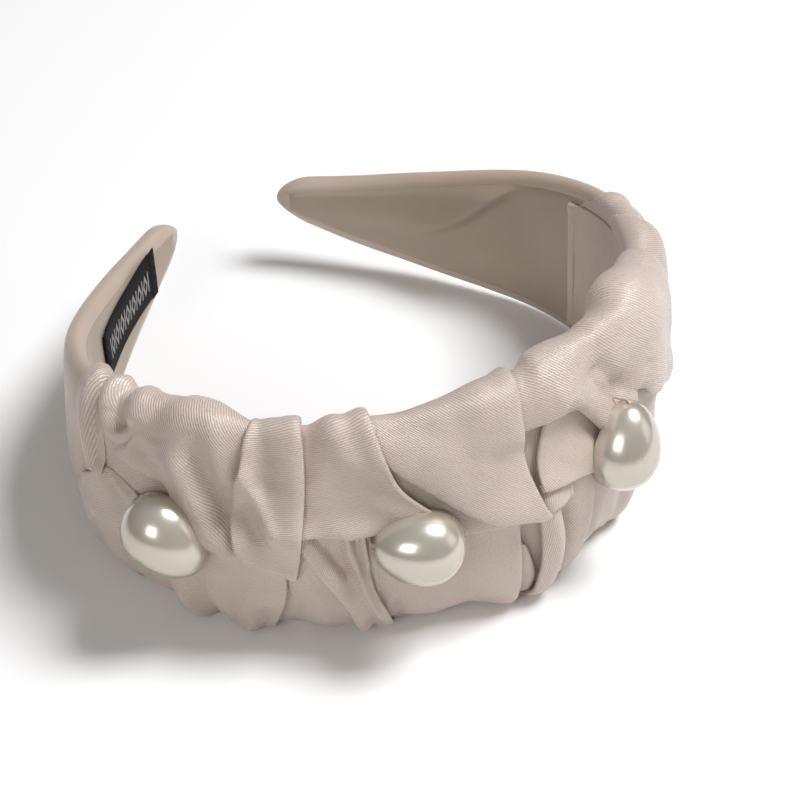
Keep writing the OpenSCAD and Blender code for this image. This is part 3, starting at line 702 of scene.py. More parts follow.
panel("fold_lower_2", ["lower_pleat_2"], [(-69.0, -IN), (-69.3, -0.8), (-69.6, -0.55), (-70.6, -0.31), (-69.5, 0.0), (-67, 0.1)], [(-51.8, -IN), (-51.6, -0.8), (-51.4, -0.66), (-50.4, -0.5), (-48.6, -0.36), (-47.0, -0.22), (-46.9, -0.09), (-50, 0.0)],
      [(-69.0, -IN), (-51.8, -IN)], [(-67, 0.1), (-60, 0.06), (-50, 0.0)], fold="LR", r={"L": (0.3, 0.7, 0.8, 0.7), "R": (0.3, 0.9, 0.9, 0.7, 0.4, 0.3)}, puff=1.5,
      ridges=[([(-69.0, -0.26), (-67.9, -0.4), (-65.8, -0.62), (-64, -0.85)], 1.7, 1.5, "b"), ([(-66.6, -0.12), (-65.0, -0.38), (-62.6, -0.66), (-61.5, -0.85)], -1.8, 2.0, "b"), ([(-63.2, -0.2), (-61.0, -0.45), (-59, -0.8)], 0.9, 2.2, "b"),
              ([(-56.5, -0.45), (-55.6, -0.62), (-56.0, -0.85)], 1.8, 2.4, "b"), ([(-50.5, -0.3), (-52.2, -0.46), (-53.0, -0.7)], -1.6, 1.6, "b"), ([(-53.5, -0.16), (-55.0, -0.3), (-57.0, -0.5)], 0.6, 2.6)], twill=-15, seed=12)
# --- upper row
panel("fold_upper_9", ["upper_pleat_9"], [(64, -0.05), (66, 0.3), (70, 0.7), (74, 0.9), (76, IN)], [(104, -0.12), (100, 0.2), (95.5, 0.5), (92.8, 0.70), (93.6, 0.8), (96.5, 0.92), (101.5, 1.0), (106.5, IN)],
      [(64, -0.05), (84, -0.16), (104, -0.12)], [(76, IN), (106.5, IN)], fold="RB", r={"R": (0.4, 0.7, 0.8, 0.8), "B": 0.3}, puff=0.3,
      ridges=[([(80, -0.05), (82, 0.3), (84, 0.8)], 0.5, 3.0, "b"), ([(88, -0.05), (88, 0.3), (89, 0.7)], -0.7, 1.8, "b")], twill=35, seed=29)
panel("fold_upper_8", ["upper_pleat_8"], [(54, 0.1), (55, 0.4), (56, 0.8), (58, IN)], [(72, -0.12), (70.5, 0.05), (70.5, 0.25), (73.0, 0.42), (74.6, 0.58), (76.2, 0.75), (80, 0.85), (84, 0.93), (88, IN)],
      [(54, 0.1), (60, 0.04), (66, -0.06), (72, -0.12)], [(58, IN), (88, IN)], fold="RB", r={"R": (0.2, 0.35, 0.6, 0.8, 0.8), "B": 0.3}, puff=0.3, ridges=[([(64, 0.1), (66, 0.4), (69, 0.8)], 0.6, 3.5)], twill=-40, seed=28)
panel("fold_upper_6_ground", [], [(-14, -0.02), (-14, 0.3), (-14, 0.6)], [(14, -0.02), (14, 0.3), (14, 0.6)], [(-14, -0.02), (14, -0.02)], [(-14, 0.6), (14, 0.6)],
      puff=0.0, ridges=[([(3.6, 0.0), (4.6, 0.2), (5.4, 0.42)], -0.9, 2.0, "ab")], twill=80, wrinkle=0.05, seed=60)
panel("fold_upper_6", ["upper_pleat_6"], [(6.1, 0.085), (6.4, 0.18), (7.5, 0.28), (9.0, 0.38), (10.6, 0.47)], [(26, 0.05), (26.5, 0.2), (27, 0.47)], [(6.1, 0.085), (10.5, 0.08), (16.1, 0.06), (20.5, 0.045), (26, 0.05)],
      [(10.6, 0.47), (27, 0.47)], fold="LB", r={"L": (0.3, 0.6, 0.7), "B": (0.25, 0.4, 0.4)}, puff=0.15, ridges=[([(12, 0.14), (16, 0.2), (21, 0.22)], 0.3, 5.0)], twill=-62, wrinkle=0.1, seed=26, lam=2.6)
panel("fold_upper_7", ["upper_pleat_7"], [(-7, 0.42), (-7, 0.6), (-7, 0.8), (-7, IN)], [(63.5, -0.1), (61.5, 0.05), (60.5, 0.25), (59.6, 0.45), (60.3, 0.65), (61.8, 0.8), (63, 0.95), (63, IN)],
      [(-7, 0.42), (2.1, 0.395), (6.1, 0.41), (10.5, 0.43), (14.5, 0.425), (17.7, 0.365), (20.9, 0.27), (24, 0.17), (28, 0.12), (32, 0.16), (35.5, 0.23), (38.5, 0.22), (42, 0.14), (47, 0.09), (51, 0.07), (57, -0.02), (63.5, -0.1)],
      [(-7, IN), (63, IN)], fold="RB", r={"R": (0.3, 0.5, 0.8, 0.8, 0.6), "B": (0.35, 0.5, 0.75, 0.8, 0.5, 0.6, 0.9, 0.9, 0.7)}, puff=1.9,
      ridges=[([(22.9, 0.70), (24.1, 0.5), (27.3, 0.37), (30.9, 0.29), (33.5, 0.2)], -3.0, 3.6, "b"), ([(46, 0.8), (46, 0.5), (45, 0.3)], 2.6, 8.5, "ab"), ([(8, 0.9), (14, 0.68), (18, 0.5)], 1.5, 7.0), ([(9, 0.5), (15, 0.5), (19, 0.42)], 0.7, 3.0),
              ([(36, 0.23), (38.5, 0.28), (41, 0.36)], -0.9, 1.5, "a"), ([(18, 1.0), (25, 0.935), (33, 0.88), (41, 0.83)], -3.0, 1.9, "a"), ([(24, 0.84), (32, 0.78), (40, 0.74)], 1.0, 2.6), ([(54, 0.6), (55.5, 0.3), (58, 0.05)], -0.5, 2.6)], twill=-40, wrinkle=0.25, grain=-50, seed=27)
panel("fold_upper_4_tail", [], [(-22, 0.03), (-28, 0.25), (-33, 0.62)], [(1.5, -0.02), (0.5, 0.06), (-1, 0.2)], [(-22, 0.03), (-10, 0.0), (1.5, -0.02)], [(-33, 0.62), (-14, 0.45), (-1, 0.2)],
      puff=0.1, ridges=[([(-23, 0.3), (-17, 0.2), (-10, 0.12), (-4, 0.08)], -0.7, 2.0)], twill=0, wrinkle=0.05, seed=44)
panel("fold_upper_5", ["upper_pleat_5"], [(-33, 0.50), (-35, 0.65), (-36, 0.8), (-36, IN)], [(6.9, -0.03), (4.6, 0.04), (3.0, 0.18), (2.2, 0.32), (1.8, 0.47), (2.2, 0.6), (2.9, 0.70), (3.8, 0.82), (4.3, 0.9), (4.5, IN)],
      [(-33, 0.50), (-29.5, 0.465), (-27, 0.43), (-25.1, 0.405), (-22.5, 0.345), (-19.5, 0.285), (-16, 0.215), (-13, 0.155), (-9.9, 0.10), (-6.5, 0.055), (-3.0, 0.025), (1.3, 0.005), (5.0, -0.022), (6.9, -0.03)],
      [(-36, IN), (4.5, IN)], fold="RB", r={"R": (0.5, 0.8, 0.9, 0.9, 0.8), "B": (0.3, 0.8, 0.9, 0.75, 0.5)}, puff=1.0, ridges=[([(-20, 0.5), (-12, 0.3), (-4, 0.14)], 0.8, 6.0, "b"), ([(-15, 0.95), (-8, 0.8), (-1, 0.66)], 0.7, 4.0, "a")], twill=-42, wrinkle=0.12, seed=25)
panel("fold_upper_4", ["upper_pleat_4"], [(-47, 0.09), (-47, 0.5), (-47, 0.8), (-47, IN)], [(-13.5, 0.085), (-16.0, 0.125), (-19.5, 0.185), (-22.7, 0.255), (-24.8, 0.33), (-26.4, 0.45), (-27.6, 0.59), (-28.3, 0.72), (-29.0, 0.88), (-29, IN)],
      [(-47, 0.09), (-43, 0.102), (-38, 0.105), (-34.3, 0.10), (-29, 0.095), (-22, 0.07), (-13.5, 0.085)], [(-47, IN), (-29, IN)], fold="RB", r={"R": (0.35, 0.7, 0.9, 0.95, 0.95), "B": (0.7, 0.7, 0.6, 0.3)}, puff=0.7,
      ridges=[([(-38, 0.14), (-37.5, 0.4), (-37, 0.75)], 0.9, 4.5, "b"), ([(-33.0, 0.85), (-31.2, 0.6), (-28.6, 0.4), (-24, 0.26)], -0.9, 2.4, "a"), ([(-41, 0.9), (-40.8, 0.6), (-41.2, 0.3)], -0.6, 2.0, "a"), ([(-30, 0.24), (-24, 0.18), (-19, 0.13)], 0.5, 2.2)], twill=12, wrinkle=0.12, seed=24)
panel("fold_upper_1", ["upper_pleat_1"], [(-87, 0.13), (-90.3, 0.15), (-92.9, 0.25), (-94.4, 0.41), (-95.2, 0.56), (-96.0, 0.72), (-96.4, 0.86), (-96, IN)], [(-86.0, 0.16), (-86.8, 0.3), (-87.9, 0.46), (-88.8, 0.64), (-89.2, 0.8), (-87, IN)],
      [(-87, 0.13), (-86.0, 0.16)], [(-96, IN), (-87, IN)], fold="L", r=(0.4, 1.2, 1.7, 1.3), puff=0.0,
      ridges=[([(-86.0, 0.16), (-87.0, 0.32), (-88.2, 0.5), (-88.9, 0.85)], -4.0, 2.6, "ab"), ([(-88.5, 0.14), (-91.2, 0.3), (-92.4, 0.5), (-93.2, 0.8)], 0.9, 1.5, "b")], twill=88, wrinkle=0.1, grain=80, seed=41, lam=2.2, step=0.6)
panel("fold_upper_2", ["upper_pleat_2"], [(-83.4, 0.375), (-84.6, 0.44), (-86.2, 0.55), (-87.4, 0.66), (-88.3, 0.78), (-88.4, 0.9), (-87.5, IN)], [(-49, -0.03), (-48, 0.2), (-49, 0.5), (-49, 0.8), (-49, IN)],
      [(-83.4, 0.375), (-82.0, 0.338), (-80.0, 0.318), (-76.3, 0.302), (-72.5, 0.296), (-70.0, 0.275), (-68.2, 0.20), (-66.5, 0.125), (-64.8, 0.078), (-62.5, 0.042), (-60, 0.015), (-57, 0.0), (-53, -0.02), (-49, -0.03)], [(-87.5, IN), (-49, IN)],
      fold="LB", r={"L": (0.7, 1.1, 1.25, 1.0, 0.8), "B": (0.8, 0.95, 1.15, 1.15, 0.9, 0.6)}, puff=1.3,
      ridges=[([(-84.2, 0.92), (-83.8, 0.76), (-82.4, 0.6), (-80.0, 0.48)], -3.4, 2.3), ([(-87.0, 0.9), (-86.2, 0.75), (-84.8, 0.58)], 0.7, 1.4, "a"), ([(-79.6, 0.92), (-78.2, 0.78), (-77.0, 0.55)], 1.5, 3.0),
              ([(-69.5, 0.56), (-66.5, 0.40), (-63, 0.23), (-59.5, 0.1), (-56, 0.03)], 2.7, 2.9, "b"), ([(-75, 0.42), (-71.5, 0.38), (-68.5, 0.3), (-66.3, 0.2)], -0.9, 2.2, "a"),
              ([(-64.0, 0.68), (-61.8, 0.44), (-59.4, 0.26), (-56.6, 0.1)], -2.0, 2.0), ([(-73.5, 0.8), (-72, 0.66), (-72.5, 0.5)], -0.7, 3.4), ([(-59.5, 0.85), (-58.8, 0.55), (-57.6, 0.3)], 1.3, 2.4), ([(-67.5, 0.9), (-66, 0.75), (-65, 0.6)], 0.5, 8.0)],
      twill=-48, wrinkle=0.06, grain=-60, seed=42, step=0.65)
panel("fold_upper_3", ["upper_pleat_3"], [(-53.0, -0.03), (-55.0, 0.06), (-56.0, 0.19), (-55.2, 0.32), (-53.7, 0.42), (-53.2, 0.56), (-52.7, 0.69), (-52.3, 0.82), (-52, IN)], [(-44.4, -0.125), (-43.2, 0.1), (-42.4, 0.32), (-42.4, 0.55), (-42.8, 0.74), (-43, 0.9), (-43, IN)],
      [(-53.0, -0.03), (-50, -0.05), (-47, -0.08), (-44.4, -0.125)], [(-52, IN), (-43, IN)], fold="LRB", r={"L": (0.15, 0.12, 0.12, 0.4, 0.7, 0.7, 0.5), "R": (0.4, 0.8, 0.9, 0.8, 0.6), "B": (0.2, 0.35, 0.4)}, puff=0.9,
      ridges=[([(-54.6, 0.44), (-52.6, 0.33), (-50.4, 0.25), (-48.4, 0.15), (-47.0, 0.06)], 1.5, 1.4, "a"), ([(-51.8, 0.9), (-51.0, 0.65), (-49.6, 0.42), (-47.2, 0.26)], -1.5, 2.2, "a"), ([(-54.6, 0.26), (-52, 0.15), (-49.5, 0.06)], -0.9, 1.5)], twill=8, wrinkle=0.12, grain=80, seed=43, lam=2.4, step=0.6)


def bend(o):
    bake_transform(o)


for o in WRAP:
    # what hangs under the band's lower edge is pressed flat by the ground it rests on
    for q in o.data.vertices:
        if q.co.z < 0:
            q.co.z *= 0.35
    bend(o)


# ------------------------------------------------------------------ arms, lining, foam and hoop
def arm_t(u, sg):
    return 6.0 + (2.2 * ease((128 - np.abs(u)) / 32) if sg < 0 else 0 * u)


def ring_section(u, sg, n_out=64, n_in=26, dip=0.0):
    """Closed loop round an arm at u: outer face and edges, then the flat inner face."""
    t = np.concatenate([-np.linspace(1, 0.8, 9)[:-1], np.linspace(-0.8, 0.8, n_out), np.linspace(0.8, 1, 9)[1:]])
    z, o = section(u + 0 * t, t, arm_t(u, sg) + 0 * t, tip=True)
    z0, z1 = z[-1], z[0]
    k = np.linspace(0, 1, n_in + 2)[1:-1]
    zi = z0 + (z1 - z0) * k
    oi = o[-1] + (o[0] - o[-1]) * k + dip * np.sin(np.pi * k)
    return np.concatenate([z, zi]), np.concatenate([o, oi])


def inner_relief(u, zf, right):
    """Shallow folds of the satin on an arm's inner face; zf runs from 0 at its lower edge to 1 at the top."""
    g = 0.25 * np.sin(u / 7.0 + 4 * zf) * np.sin(np.pi * zf)
    g = g + 0.18 * np.sin(u / 3.1 - 6 * zf + 1.0) * np.sin(np.pi * zf) * ease((140 - np.abs(u)) / 25)
    if right:
        # a soft diagonal fold from the top edge towards the lower one
        d = (np.abs(u) - (134.5 + (0.73 - zf) * 43)) / 5.0
        g = g + 3.2 * (1 / (1 + np.exp(-d * 3.6))) * np.exp(-np.maximum(d - 0.5, 0) / 3.0) * ease((zf - 0.30) / 0.35) * ease((1.0 - zf) / 0.16)
        d3 = (np.abs(u) - 111.5 - 6 * (1 - zf)) / 2.6
        g = g + 0.6 * np.exp(-d3 * d3) * ease((0.6 - zf) / 0.5) * ease(zf / 0.3)
    return g


def arm_sleeve(side):
    sg = -1 if side == "left" else 1
    a0 = 84.0
    us = np.concatenate([np.arange(a0, 178, 1.0), np.arange(178, LT - 0.4, 0.5), [LT - 0.35, LT - 0.12, LT - 0.02]])
    rows, wv = [], []
    for u in us:
        z, o = ring_section(np.array(u), sg)
        th = ease((u - a0) / 20)
        amp = 0.25 * (1 - ease((u - 160) / 25))
        n = len(z)
        outer = np.zeros(n)
        kk = np.arange(n)
        outer[8:72] = np.sin(np.pi * (kk[8:72] - 8) / 63)
        wob = amp * outer * (np.sin(u / 6.0 + z / 9.0) + 0.6 * np.sin(u / 11.0 - z / 6.0 + 1.3))
        x, y, t = plan(np.full(n, sg * u))
        rows.append(point(np.full(n, sg * u), z, o + wob))
        arc = np.concatenate([[0], np.cumsum(np.hypot(np.diff(z), np.diff(o)))])
        wv.append(np.stack([np.full(n, u), arc], -1))
    P = np.array(rows)
    n, m = P.shape[:2]
    v = P.reshape(-1, 3)
    f = grid_faces(n, m, wrap_j=True, flip=(sg > 0))
    # close the two ends with a fan
    c0, c1 = P[0].mean(0), P[-1].mean(0)
    v = np.vstack([v, c0, c1])
    k0, k1 = n * m, n * m + 1
    for j in range(m):
        a, b = j, (j + 1) % m
        f.append((k0, a, b) if sg > 0 else (k0, b, a))
        a, b = (n - 1) * m + j, (n - 1) * m + (j + 1) % m
        f.append((k1, b, a) if sg > 0 else (k1, a, b))
    w = np.vstack([np.array(wv).reshape(-1, 2), [[us[0], 0]], [[us[-1], 0]]])
    tw = math.radians(38 if sg > 0 else -38)
    w = np.stack([w[:, 0] * math.cos(tw) + w[:, 1] * math.sin(tw), -w[:, 0] * math.sin(tw) + w[:, 1] * math.cos(tw)], -1)
    o = mesh_object("arm_sleeve_" + side, row(v), f, SLEEVE, w)
    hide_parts("arm_cover_" + side)
    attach(o, side + "_half")
    return o


def arm_lining(side):
    """The satin on an arm's inner face; its border is tucked into the sleeve's turned edge."""
    sg = -1 if side == "left" else 1
    us = np.arange(96.0, LT - 2.4, 0.8)
    m = 44
    P = np.zeros((len(us), m, 3))
    W = np.zeros((len(us), m, 2))
    for i, u in enumerate(us):
        zc, H, k = edges(np.array(u))
        r2 = min(3.2, float(H) * 0.45)
        half = max(float(H) - r2 * 0.55, 0.4)
        zf = np.linspace(0, 1, m)
        z = float(zc) + (2 * zf - 1) * half
        border = np.minimum(np.minimum(zf, 1 - zf) * 2 * half / 2.6, np.minimum((us[-1] - u) / 2.5 + 0.02, 1))
        o = 0.45 - 0.85 * ease(border) - inner_relief(u, zf, sg > 0) * ease((us[-1] - u) / 20)
        P[i] = point(np.full(m, sg * u), z, o)
        W[i] = np.stack([np.full(m, u), z], -1)
    if sg > 0:
        Q = P[:, ::-1]
        W = W[:, ::-1]
    else:
        Q = P
    v, f = closed_sheet(Q, 0.3)
    tw = math.radians(40)
    w = W.reshape(-1, 2)
    w = np.stack([w[:, 0] * math.cos(tw) + w[:, 1] * math.sin(tw), -w[:, 0] * math.sin(tw) + w[:, 1] * math.cos(tw)], -1)
    # the inner face takes the darker copy of the satin: painted shade
    o = mesh_object("arm_lining_satin_" + side, row(v), f, LINING_SATIN_PAINTED_SHADE, np.vstack([w, w]))
    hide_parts("arm_lining_" + side)
    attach(o, side + "_half")
    return o


def crown_lining(side):
    """The satin on the crown's inner face, turned under at its edges; its end shows as the seam inside the arm."""
    sg = -1 if side == "left" else 1
    end = 97.0 if side == "left" else 106.5
    us = np.concatenate([np.arange(0, end, 0.9), [end]])
    m = 58
    fold = [0.18, 0.36, 0.54, 0.72, 0.9, 1.0]
    rows, wv = [], []
    for u in us:
        zc, H, k = edges(np.array(sg * u))
        half = float(H) - 5.0
        zf = np.linspace(-1, 1, m)
        z = float(zc) + zf * half
        edge = np.minimum(1 - np.abs(zf), 1) * half
        o = -0.85 - 0.25 * np.exp(-((edge / 3.0) ** 2)) - (0.8 if side == "right" else 0.35) * np.exp(-(((end - u) / (2.2 if side == "right" else 3.0)) ** 2)) - (0.5 * np.sin(u / 3.4 - zf) * ease((u - 88) / 6) * np.exp(-((zf - 0.1) / 0.6) ** 2) * 0.8 if side == "right" else 0) + 0.14 * np.sin(u / 6.5 + zf * 2.2) * (1 - np.abs(zf))
        r = 0.32
        zt = [z[-1] + r * math.sin(p * math.pi) for p in fold]
        ot = [o[-1] + r * (1 - math.cos(p * math.pi)) for p in fold]
        zb = [z[0] - r * math.sin(p * math.pi) for p in fold][::-1]
        ob = [o[0] + r * (1 - math.cos(p * math.pi)) for p in fold][::-1]
        zz = np.concatenate([[zb[0] + 1.5], zb, z, zt, [zt[-1] - 1.5]])
        oo = np.concatenate([[ob[0]], ob, o, ot, [ot[-1]]])
        rows.append(np.stack([np.full(len(zz), float(u)), zz, oo], -1))
    last = rows[-1]
    r = 0.32
    for p in fold:
        q = last.copy()
        q[:, 0] += r * math.sin(p * math.pi)
        q[:, 2] += r * (1 - math.cos(p * math.pi)) * 1.0
        rows.append(q)
    q = rows[-1].copy()
    q[:, 0] -= 1.8
    rows.append(q)
    G = np.array(rows)
    P = point(sg * G[..., 0], G[..., 1], G[..., 2])
    W = G[..., :2]
    if sg > 0:
        P, W = P[:, ::-1], W[:, ::-1]
    v, f = closed_sheet(P, 0.25)
    tw = math.radians(40)
    w = W.reshape(-1, 2)
    w = np.stack([w[:, 0] * math.cos(tw) + w[:, 1] * math.sin(tw), -w[:, 0] * math.sin(tw) + w[:, 1] * math.cos(tw)], -1)
    o = mesh_object("crown_lining_satin_" + side, row(v), f, SATIN, np.vstack([w, w]))
    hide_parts("crown_lining_" + side)
    bend(o)
    return o


def loft(name, us, ring, sg, mat):
    """Closed loft of a ring of (z, o) points along the band."""
    rows = [point(np.full(len(z), sg * u), z, o) for u in us for z, o in [ring(u)]]
    P = np.array(rows)
    n, m = P.shape[:2]
    f = grid_faces(n, m, wrap_j=True, flip=(sg > 0))
    v = np.vstack([P.reshape(-1, 3), P[0].mean(0), P[-1].mean(0)])
    k0, k1 = n * m, n * m + 1
    for j in range(m):
        a, b = j, (j + 1) % m
        f.append((k0, a, b) if sg > 0 else (k0, b, a))
        a, b = (n - 1) * m + j, (n - 1) * m + (j + 1) % m
        f.append((k1, b, a) if sg > 0 else (k1, a, b))
    return mesh_object(name, row(v), f, mat)


def hoop_ring(u):
    zc, H, k = edges(np.array(float(u)))
    hh = max(float(H) - 3.4, 0.5)
    p = np.linspace(0, 2 * np.pi, 40, endpoint=False)
    z = float(zc) + hh * np.sign(np.sin(p)) * np.abs(np.sin(p)) ** 0.5
    o = 1.05 + 0.75 * np.sign(np.cos(p)) * np.abs(np.cos(p)) ** 0.5
    return z, o


def foam_ring(u, lo=2.0):
    t = np.linspace(-0.50, 0.54, 36)
    z, o = section(np.full(36, float(u)), t, crown_t(np.full(36, float(u))))
    o = np.maximum(o - 3.2 - (3.3 * float(ease((u - 44) / 15))), lo + 0.2)
    zi = np.linspace(z[-1], z[0], 16)[1:-1]
    return np.concatenate([z, zi]), np.concatenate([o, np.full(14, lo)])


for side, sg in (("left", -1), ("right", 1)):
    arm_sleeve(side)
    arm_lining(side)
    crown_lining(side)
    # the hoop across the crown is baked in place; inside the arm it is attached to the arm's half and keeps its shape,
    # as the arm does
    hoop = loft("hoop_strip_" + side, np.arange(0.0, 100.1, 2.5), hoop_ring, sg, PLASTIC)
    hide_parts("hoop_core_" + side)
    bend(hoop)
    hoop = loft("hoop_strip_arm_" + side, np.concatenate([np.arange(100.03, LT - 8, 3.0), [LT - 7.5, LT - 6.5, LT - 6]]), hoop_ring, sg, PLASTIC)
    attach(hoop, side + "_half")
    foam = loft("foam_pad_soft_" + side, np.arange(0.2, (92 if sg < 0 else 100), 2.0), foam_ring, sg, FOAM)
    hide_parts("foam_pad_" + side)
    bend(foam)


# ------------------------------------------------------------------ pearls and their thread
def place(u, z, spin, o):
    """Matrix of a pearl's own frame: x along its length, y up the cloth, z out of it."""
    x, y, th = plan(np.array(float(u)))
    p = point(np.array(float(u)), np.array(float(z)), np.array(float(o)))
    tang = np.array([math.cos(th), math.sin(th), 0])
    out = np.array([math.sin(th), -math.cos(th), 0])
    up = np.array([0, 0, 1.0])
    c, s = math.cos(math.radians(spin)), math.sin(math.radians(spin))
    return p, np.stack([tang * c + up * s, -tang * s + up * c, out], 0)


def pearl(name, nodes, u, z, spin, o, body, seed):
    nu, nv = 72, 72
    t = np.linspace(0, 1, nu)
    rr = 8.75 * np.sin(np.pi * t) * (1 + 0.16 * np.cos(np.pi * t))
    xx = -10.75 * np.cos(np.pi * t)
    ph = np.linspace(0, 2 * np.pi, nv, endpoint=False)
    X = np.repeat(xx[1:-1, None], nv, 1)
    Y = rr[1:-1, None] * np.cos(ph)[None]
    Z = rr[1:-1, None] * np.sin(ph)[None]
    v = np.vstack([np.stack([X, Y, Z], -1).reshape(-1, 3), [[xx[0], 0, 0], [xx[-1], 0, 0]]])
    # soft flattening of the back, a slight unevenness, and a dimple at each thread hole
    d = v[:, 2] + 2.75
    v[:, 2] = np.where(d < 0.8, -2.75 + np.where(d > -0.8, (d + 0.8) ** 2 / 3.2, 0), v[:, 2])
    rng = np.random.RandomState(seed)
    k = rng.uniform(-1, 1, (5, 3))
    wob = sum(np.sin(v @ q * 0.22 + i) for i, q in enumerate(k)) * 0.10
    nrm = v / np.maximum(np.linalg.norm(v, axis=1, keepdims=True), 1e-9)
    v = v + nrm * wob[:, None]
    for s in (-1, 1):
        e = np.hypot(v[:, 1], v[:, 2])
        m = (np.sign(v[:, 0]) == s)
        v[:, 0] -= np.where(m, s * 0.9 * np.exp(-(e / 0.8) ** 2), 0)
    n = nu - 2
    f = grid_faces(n, nv, wrap_j=True)
    k0, k1 = n * nv, n * nv + 1
    for j in range(nv):
        f.append((k0, (j + 1) % nv, j))
        f.append((k1, (n - 1) * nv + j, (n - 1) * nv + (j + 1) % nv))
    p, M = place(u, z, spin, o)
    ob = mesh_object(name, row(v @ M + p), [q[::-1] for q in f], PEARL)
    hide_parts(nodes)
    if body:
        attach(ob, body)
    else:
        bend(ob)
    # the thread shows as a short stitch at each end of the hole and goes down into the cloth
    pts = []
    for s in (-1, 1):
        pts.append([(s * x, 0, zz) for x, zz in ((9.4, 0.0), (10.0, 0.0), (10.5, -0.25), (10.8, -0.9), (10.7, -1.8), (10.4, -2.9), (10.1, -4.4))])
    vs, fs = [], []
    for line in pts:
        c = np.array(line)
        tt = np.linspace(0, len(c) - 1, 26)
        c = np.stack([np.interp(tt, range(len(c)), c[:, i]) for i in range(3)], -1)
        for _ in range(3):
            c[1:-1] = (c[:-2] + 2 * c[1:-1] + c[2:]) / 4
        tg = np.gradient(c, axis=0)
        tg /= np.linalg.norm(tg, axis=1, keepdims=True)
        sd = np.array([0, 1.0, 0])
        base = len(vs)
        for i, (q, tn) in enumerate(zip(c, tg)):
            b2 = np.cross(tn, sd)
            for a in range(10):
                an = a * 2 * np.pi / 10
                rad = 0.22 * (1 + 0.14 * math.cos(2 * an + i * 1.3))
                vs.append(q + rad * (math.cos(an) * sd + math.sin(an) * b2))
        fs += grid_faces(26, 10, base, wrap_j=True)
        vs.append(c[0]); vs.append(c[-1])
        k0, k1 = len(vs) - 2, len(vs) - 1
        for a in range(10):
            fs.append((k0, base + (a + 1) % 10, base + a))
            fs.append((k1, base + 250 + a, base + 250 + (a + 1) % 10))
    tob = mesh_object(name + "_thread", row(np.array(vs) @ M + p), fs, THREAD)
    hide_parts(nodes.replace("pearl_", "pearl_thread_"))
    if body:
        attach(tob, body)
    else:
        bend(tob)
    return ob


def stack_o(u, z, rad=8.0):
    """Offset of the cloth's top round a pearl's seat, from the stack of folds."""
    best = []
    for du in np.linspace(-rad, rad, 9):
        for dz in np.linspace(-rad, rad, 9):
            if du * du + dz * dz <= rad * rad:
                uu = u + du
                zc, H, k = edges(np.array(uu))
                t = np.arcsin(np.clip((z + dz - zc) / H, -1, 1)) / (np.pi / 2) * 0.8
                s = float(s_of(float(t)))
                _, o = section(np.array(uu), np.array(float(t)), crown_t(np.array(uu)))
                best.append(float(o) + float(sample(STACK, np.array(uu), np.array(s))))
    return float(np.percentile(best, 55))


PEARLS = [("pearl_bead_left", "pearl_left", -69.0, 30.5, -41, "left_half", 3), ("pearl_bead_middle", "pearl_middle", -20.5, 29.5, 168, None, 5), ("pearl_bead_right", "pearl_right", 27.0, 34.0, 77, None, 7)]
for nm, nd, u, z, spin, body, seed in PEARLS:
    o = stack_o(u, z)
    print("pearl seat", nm, round(o, 2), "skin", round(float(crown_t(np.array(u))), 2))
    pearl(nm, nd, u, z, spin, min(o, 11.6) + 2.75 - 0.4, None, seed)

# ------------------------------------------------------------------ woven label and its stitches
LU, LZ, LW, LL = 154.0, 24.0, 13.5, 38.0


def label_point(x, y, o):
    """x along the label towards the arm's tip, y up, both from its middle."""
    u = -(LU + x)
    lift = 2.2 * ease((LU + x - 140) / 50)
    return point(u, LZ + LW / 2 + y + lift, o)


def woven_label():
    xs = np.linspace(-LL / 2, LL / 2, 96)
    ys = np.linspace(-LW / 2, LW / 2, 42)
    X, Y = np.meshgrid(xs, ys, indexing="ij")
    e = np.minimum(np.minimum(LL / 2 - np.abs(X), LW / 2 - np.abs(Y)), 3.0)
    relief = inner_relief(LU + X, (LZ + LW / 2 + Y - 14) / 28, False)
    o = -0.95 - relief - 0.12 * np.sin(X / 5.0 + 0.6) * np.cos(Y / 5.0) - 0.25 * ease(e / 1.2)
    # the two ends are turned under, so they are thicker
    o = o - 0.28 * ease((np.abs(X) - (LL / 2 - 3.4)) / 0.6)
    P = label_point(X, Y, o)
    v, f = closed_sheet(P[:, ::-1] if False else P, 0.4)
    w = np.stack([X, Y], -1).reshape(-1, 2)
    ob = mesh_object("woven_label_tape", row(v), f, LABEL, np.vstack([w, w]))
    bpy.context.view_layer.update()
    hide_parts("woven_label")
    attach(ob, "left_half")
    vs, fs = [], []
    for s in (-1, 1):
        for i in range(4):
            x0, y0 = s * (LL / 2 - 1.2), -LW / 2 + 1.4 + i * (LW - 4.3) / 3
            rel = float(inner_relief(LU + x0, (LZ + LW / 2 + y0 - 14) / 28, False))
            base = len(vs)
            for k in range(9):
                a = k / 8
                oo = -1.42 - rel - 0.16 * math.sin(math.pi * a) + 0.25 * (1 if k in (0, 8) else 0)
                c = label_point(x0 + 0.35 * (a - 0.5), y0 + 1.7 * a, oo)
                for q in range(8):
                    an = q * math.pi / 4
                    d = label_point(x0 + 0.35 * (a - 0.5) + 0.14 * math.cos(an), y0 + 1.7 * a, oo + 0.14 * math.sin(an))
                    vs.append(d)
            fs += grid_faces(9, 8, base, wrap_j=True)
            vs.append(np.mean(vs[base: base + 8], 0)); vs.append(np.mean(vs[base + 64: base + 72], 0))
            k0, k1 = len(vs) - 2, len(vs) - 1
            for q in range(8):
                fs.append((k0, base + (q + 1) % 8, base + q))
                fs.append((k1, base + 64 + q, base + 64 + (q + 1) % 8))
    st = mesh_object("label_stitch_threads", row(np.array(vs)), fs, STITCH)
    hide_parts("label_stitches")
    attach(st, "left_half")


woven_label()

# closed meshes with their normals outward
for o in list(bpy.context.scene.objects):
    if o.type == "MESH" and "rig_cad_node" not in o:
        import bmesh
        bm = bmesh.new()
        bm.from_mesh(o.data)
        bmesh.ops.recalc_face_normals(bm, faces=bm.faces)
        bm.to_mesh(o.data)
        bm.free()

